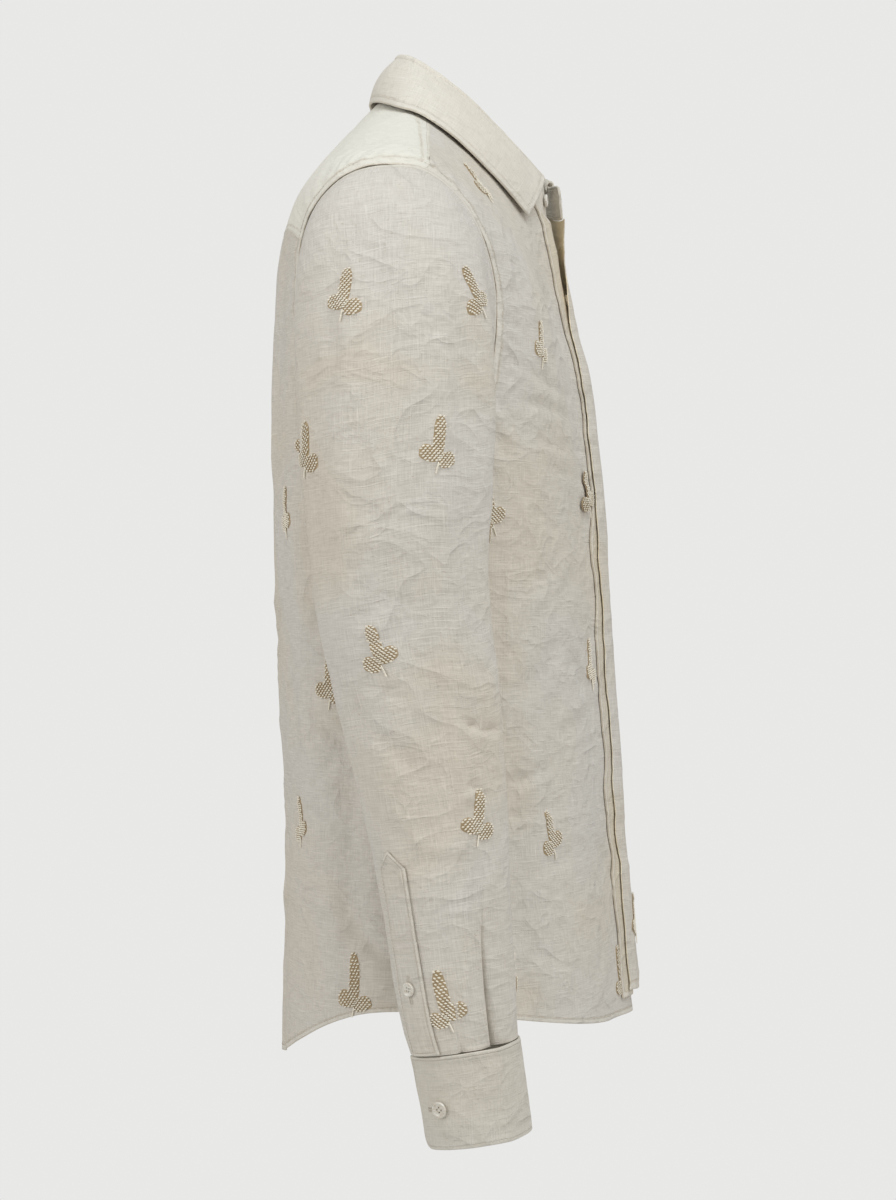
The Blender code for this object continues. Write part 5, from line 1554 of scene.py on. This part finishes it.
# Spots as (angle, ring, turn to the left in degrees, 1 or -1 for mirrored)
sprigSpots = {
    "sleeve": ((29.0, 3.33, 4, 1), (-56.0, 2.80, 12, -1), (-24.0, 4.77, 0, 1),
               (74.0, 4.73, 8, 1), (18.0, 7.17, 12, -1), (-32.0, 8.90, 2, 1),
               (9.0, 11.07, 10, -1), (118.0, 6.60, 6, -1), (138.0, 4.60, 0, 1),
               (-104.0, 5.60, 8, -1), (-132.0, 3.60, 2, 1), (-112.0, 8.00, 6, 1),
               (160.0, 8.30, 4, 1), (122.0, 9.30, 0, -1), (-138.0, 9.60, 8, -1),
               (-108.0, 10.90, 4, 1)),
    "front": ((39.0, 4.12, 4, 1), (64.0, 5.32, 10, -1), (13.5, 6.08, 6, 1),
              (44.5, 7.02, 8, -1), (7.5, 7.76, 10, -1), (59.0, 1.98, 6, 1)),
    "overlap": ((-1.0, 7.50, 6, 1), (4.0, 3.30, 0, -1)),
    "strip": ((8.5, 5.18, 0, -1),),
    "back": ((138.5, 5.32, -8, 1), (117.0, 6.15, 6, -1), (136.5, 6.95, 2, 1),
             (106.5, 7.86, 8, -1), (123.0, 4.95, 0, 1)),
    "backLeft": ((172.0, 4.20, 6, 1), (168.0, 6.10, 4, -1), (172.0, 7.75, 0, 1),
                 (150.0, 3.75, 8, -1)),
    "yoke": ((168.0, 1.60, 6, -1), (114.0, 2.10, 4, -1)),
}


# Spots of the body's left side moved to the same place on its right side
def onRight(spots, turned=1):
    return tuple((-angle, ring, turn, flip * turned) for angle, ring, turn, flip in spots)


def leftSkin(angle, ring):
    return bodySkin(angle, ring, leftRise(angle, ring))


def stripSkin(angle, ring):
    return bodySkin(angle, ring, closure["stripOuter"])


backSpots = sprigSpots["back"] + onRight(sprigSpots["back"], -1) + sprigSpots["backLeft"]
embroidery = {}
for node, skin, spots, side in (
        ("sleeve_right", sleeveSkin, sprigSpots["sleeve"], -1),
        ("sleeve_left", sleeveSkin, sprigSpots["sleeve"], 1),
        ("front_right", bodySkin, onRight(sprigSpots["front"]), 1),
        ("front_left", leftSkin, sprigSpots["front"] + sprigSpots["overlap"], 1),
        ("fly_strip", stripSkin, onRight(sprigSpots["strip"]), 1),
        ("back", bodySkin, backSpots, 1),
        ("yoke", bodySkin, sprigSpots["yoke"], 1)):
    title = "sprigs_" + node.replace("fly_", "")
    embroidery[node] = stitchSprigs(title, skin, spots, side)


def joined(runs):
    return [np.concatenate([run[i] for run in runs]) for i in range(3)]


seamLook = {"length": 0.0022, "width": 0.00042, "height": 0.00030, "unevenness": 0.1, "seed": 3}
bodyStitches = sew("seam_stitches_body", *joined(seams), seamThread, **seamLook)
bandStitches = sew("seam_stitches_bands", *joined(bandSeams), seamThread, **seamLook)

# Buttons: radius and height in metres of each kind, and where they and their holes sit
buttonLook = {
    "profile": ((0.0, 0.0), (0.80, 0.0), (0.94, 0.12), (1.0, 0.38), (0.99, 0.66), (0.92, 0.92),
                (0.84, 1.0), (0.76, 0.95), (0.67, 0.74), (0.55, 0.67), (0.0, 0.64)),
    "steps": 40, "hole": 0.115, "spread": 0.20,
    "fly": (0.0050, 0.0018), "cuff": (0.0058, 0.0022), "small": (0.0050, 0.0022),
    "flyX": -0.006, "flyZ": (-0.150, -0.235, -0.320, -0.405, -0.490, -0.575),
    "seat": 0.0004, "guardAt": (44.0, 10.62), "cuffAt": (37.0, 0.56),
    "guardHole": (10.44, 10.84), "cuffHole": (29.0, 55.0), "standHole": (0.007, 0.020),
}
buttonThread = []


# A four-hole button blank of radius 1 and height 1, holes cut right through
def buttonBlank():
    mesh = bmesh.new()
    steps = buttonLook["steps"]
    loops = []
    for radius, height in buttonLook["profile"][1:-1]:
        loops.append([mesh.verts.new((radius * math.cos(a), radius * math.sin(a), height))
                      for a in np.linspace(0, 2 * math.pi, steps, endpoint=False)])
    for low, high in zip(loops, loops[1:]):
        for i in range(steps):
            mesh.faces.new((low[i], low[(i + 1) % steps], high[(i + 1) % steps], high[i]))
    mesh.faces.new(list(reversed(loops[0])))
    mesh.faces.new(loops[-1])
    blank = bpy.data.meshes.new("button_blank")
    mesh.to_mesh(blank)
    mesh.clear()
    for x in (-1, 1):
        for y in (-1, 1):
            place = Matrix.Translation((x * buttonLook["spread"], y * buttonLook["spread"], 0.5))
            bmesh.ops.create_cone(mesh, cap_ends=True, segments=14, radius1=buttonLook["hole"],
                                  radius2=buttonLook["hole"], depth=2.0, matrix=place)
    pins = bpy.data.meshes.new("button_pins")
    mesh.to_mesh(pins)
    mesh.free()
    body, tool = addObject("blank", blank), addObject("pins", pins)
    cut = body.modifiers.new("holes", "BOOLEAN")
    cut.object, cut.operation, cut.solver = tool, "DIFFERENCE", "EXACT"
    bevel = body.modifiers.new("soft", "BEVEL")
    bevel.width, bevel.segments, bevel.limit_method = 0.02, 1, "ANGLE"
    made = bpy.data.meshes.new_from_object(
        body.evaluated_get(bpy.context.evaluated_depsgraph_get()))
    for thing in (body, tool):
        bpy.data.objects.remove(thing)
    return made


blankButton = buttonBlank()


# A button with its outer face along the normal, and the thread over its two bars
def makeButton(name, size, point, normal, turn=0.0):
    radius, height = size
    mesh = blankButton.copy()
    mesh.name = name
    facing = Vector((0, 0, 1)).rotation_difference(Vector(normal)).to_matrix().to_4x4()
    frameOf = Matrix.Translation(Vector(point)) @ facing @ Matrix.Rotation(turn, 4, "Z")
    mesh.transform(frameOf @ Matrix.Diagonal((radius, radius, height, 1.0)))
    mesh.materials.clear()
    mesh.materials.append(shell)
    mesh.shade_smooth()
    mesh.set_sharp_from_angle(angle=math.radians(38))
    spread = buttonLook["spread"] * radius
    for row in (-1, 1):
        for shift in (-0.25, 0.0, 0.25):
            spot = Vector((0, row * spread + shift * 0.001, height * (0.70 - abs(shift) * 0.2)))
            buttonThread.append((frameOf @ spot, frameOf.to_3x3() @ Vector((1, 0, 0)),
                                 Vector(normal)))
    return addObject(name, mesh)


def first(point, normal):
    return point[0], normal[0]


buttons = {}
frontRings = np.linspace(0.0, 8.0, 161)
heights = smoothRead(rings["frontZ"], frontRings)
for number, height in enumerate(buttonLook["flyZ"], 1):
    ring = np.array([np.interp(-height, -heights, frontRings)])
    angle = angleAtX(np.array([buttonLook["flyX"]]), ring)
    seat = first(*bodySkin(angle, ring, closure["stripOuter"] + buttonLook["seat"]))
    buttons[f"fly_button_{number}"] = makeButton(
        f"shirt_fly_button_{number}", buttonLook["fly"], *seat, 0.4)
for word, side in (("right", -1), ("left", 1)):
    point, normal = sleeveSkin(*np.array(buttonLook["guardAt"])[:, None])
    seat = first(mirroredTo(point + normal * (placket["rise"] + buttonLook["seat"]), side),
                 mirroredTo(normal, side))
    buttons[f"guard_button_{word}"] = makeButton(
        f"shirt_guard_button_{word}", buttonLook["small"], *seat, 0.7)
    point, normal = cuffSurface(*np.array(buttonLook["cuffAt"])[:, None], buttonLook["seat"])
    seat = first(mirroredTo(point, side), mirroredTo(normal, side))
    buttons[f"cuff_button_{word}"] = makeButton(
        f"shirt_cuff_button_{word}", buttonLook["cuff"], *seat, 0.2)
standAngle = np.array([collar["buttonAngle"]])
standFoot = bodySurface(standAngle, np.zeros(1))[0]
standFacing = fromNeckAxis(standFoot)
standMiddle = (standFoot + collarLines(standAngle)[0]) / 2 + standFacing * buttonLook["seat"]
buttons["collar_button"] = makeButton("shirt_collar_button", buttonLook["small"],
                                      *first(standMiddle, standFacing), 0.5)


# Close overcast stitches on both sides of a slit
def buttonhole(points, ups, lift=0.0001):
    middle, along, up = stitchesAlong(points, ups, 0.00055)
    across = np.cross(up, along)
    across /= np.linalg.norm(across, axis=-1, keepdims=True)
    return joined([(middle + across * shift + up * lift, across, up)
                   for shift in (-0.0009, 0.0009)])


holes = []
cuffLine = cuffSurface(np.linspace(*buttonLook["cuffHole"], 20),
                       np.full(20, buttonLook["cuffAt"][1]), 0.0)
guardLine = sleeveSkin(np.full(12, buttonLook["guardAt"][0]),
                       np.linspace(*buttonLook["guardHole"], 12))
for side in (-1, 1):
    holes.append(buttonhole(mirroredTo(cuffLine[0], side), mirroredTo(cuffLine[1], side)))
    holes.append(buttonhole(
        mirroredTo(guardLine[0] + guardLine[1] * placket["rise"], side),
        mirroredTo(guardLine[1], side)))
standLine, standUp = (grid[len(standGrid) // 2][::-1] for grid in (standGrid, standAway))
fromEnd = arcLength(standLine, 0)
slit = (fromEnd > buttonLook["standHole"][0]) & (fromEnd < buttonLook["standHole"][1])
holes.append(buttonhole(standLine[slit], standUp[slit]))
bodyHoles = sew("buttonhole_stitches", *joined(holes), seamThread,
                length=0.0016, width=0.0005, height=0.0004, unevenness=0.1, seed=5)
buttonStitches = sew("button_thread", *map(np.array, zip(*buttonThread)), seamThread,
                     length=0.0030, width=0.00042, height=0.00042, unevenness=0.1, seed=9)
print("buttons ready", len(buttons))

pieces = dict(panels, fly_strip=flyStrip, collar_fall=collarFall, collar_stand=collarStand,
              **sleevePieces)


# Prints a piece's cut size from its grain and its area from its skin
def declareCloth(node, piece):
    mesh = piece.data
    spots = np.empty(len(mesh.loops) * 2)
    mesh.uv_layers[0].data.foreach_get("uv", spots)
    width, length = np.ptp(spots.reshape(-1, 2), axis=0)
    area = sum(face.area for face in mesh.polygons) / 2
    length = max(length, area / width)
    print(node, "cut", round(width, 3), round(length, 3), "area", round(area, 4))


for node, piece in pieces.items():
    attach(piece, "root")
    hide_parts(node)
    declareCloth(node, piece)
for node, piece in buttons.items():
    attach(piece, "root")
    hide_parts(node)
trim = [bodyStitches, bandStitches, bodyHoles, buttonStitches]
trim += [piece for pair in embroidery.values() for piece in pair]
for piece in trim:
    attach(piece, "root")

# Lights: name, place, target, size in metres, watts and colour. Floor: height, half width.
studio = {
    "camera": (-2.2, -0.018, -0.384), "aim": (0.0, -0.018, -0.384), "half": 600 / 2794,
    "sky": (0.81, 0.81, 0.80, 1.0), "fill": 0.58,
    "lights": (("top", (-1.1, -0.7, 1.9), (0.0, -0.02, -0.30), 2.0, 30.0, (0.90, 0.96, 1.0)),
               ("front", (-2.2, -2.0, 0.2), (0.0, 0.0, -0.45), 1.4, 13.5, (1.0, 0.98, 0.95)),
               ("behind", (-1.4, 2.0, 0.4), (0.0, 0.0, -0.45), 1.6, 18.0, (1.0, 0.99, 0.97))),
    "floor": (-1.42, 2.0), "floorColour": (0.80, 0.80, 0.79, 1.0),
}


def aimAt(thing, target):
    away = Vector(target) - thing.location
    thing.rotation_euler = away.to_track_quat("-Z", "Y").to_euler()


scene = bpy.context.scene
scene.view_settings.view_transform = "Standard"
camera = addObject("camera", bpy.data.cameras.new("camera"))
camera.location = studio["camera"]
aimAt(camera, studio["aim"])
camera.data.sensor_fit = "VERTICAL"
camera.data.angle = 2 * math.atan(studio["half"])
scene.camera = camera
for name, place, target, size, power, colour in studio["lights"]:
    lamp = addObject(name, bpy.data.lights.new(name, "AREA"))
    lamp.data.shape, lamp.data.size = "DISK", size
    lamp.data.energy, lamp.data.color = power, colour
    lamp.location = place
    aimAt(lamp, target)

world = bpy.data.worlds.new("studio")
scene.world = world
world.use_nodes = True
sky = world.node_tree
sky.nodes["Background"].inputs["Color"].default_value = studio["sky"]
seen = addNode(sky, "ShaderNodeLightPath").outputs["Is Camera Ray"]
strength = addNode(sky, "ShaderNodeMapRange", Value=seen, To_Min=studio["fill"],
                   To_Max=1.0).outputs[0]
sky.links.new(strength, sky.nodes["Background"].inputs["Strength"])

floorZ, reach = studio["floor"]
floorMesh = bpy.data.meshes.new("floor")
floorMesh.from_pydata([(-reach, -reach, floorZ), (reach, -reach, floorZ), (reach, reach, floorZ),
                       (-reach, reach, floorZ)], [], [(0, 1, 2, 3)])
floorPaint = bpy.data.materials.new("studio_floor")
floorPaint.use_nodes = True
floorPaint.node_tree.nodes["Principled BSDF"].inputs["Base Color"].default_value = (
    studio["floorColour"])
floorMesh.materials.append(floorPaint)
floorObject = addObject("floor", floorMesh)
print("studio ready")
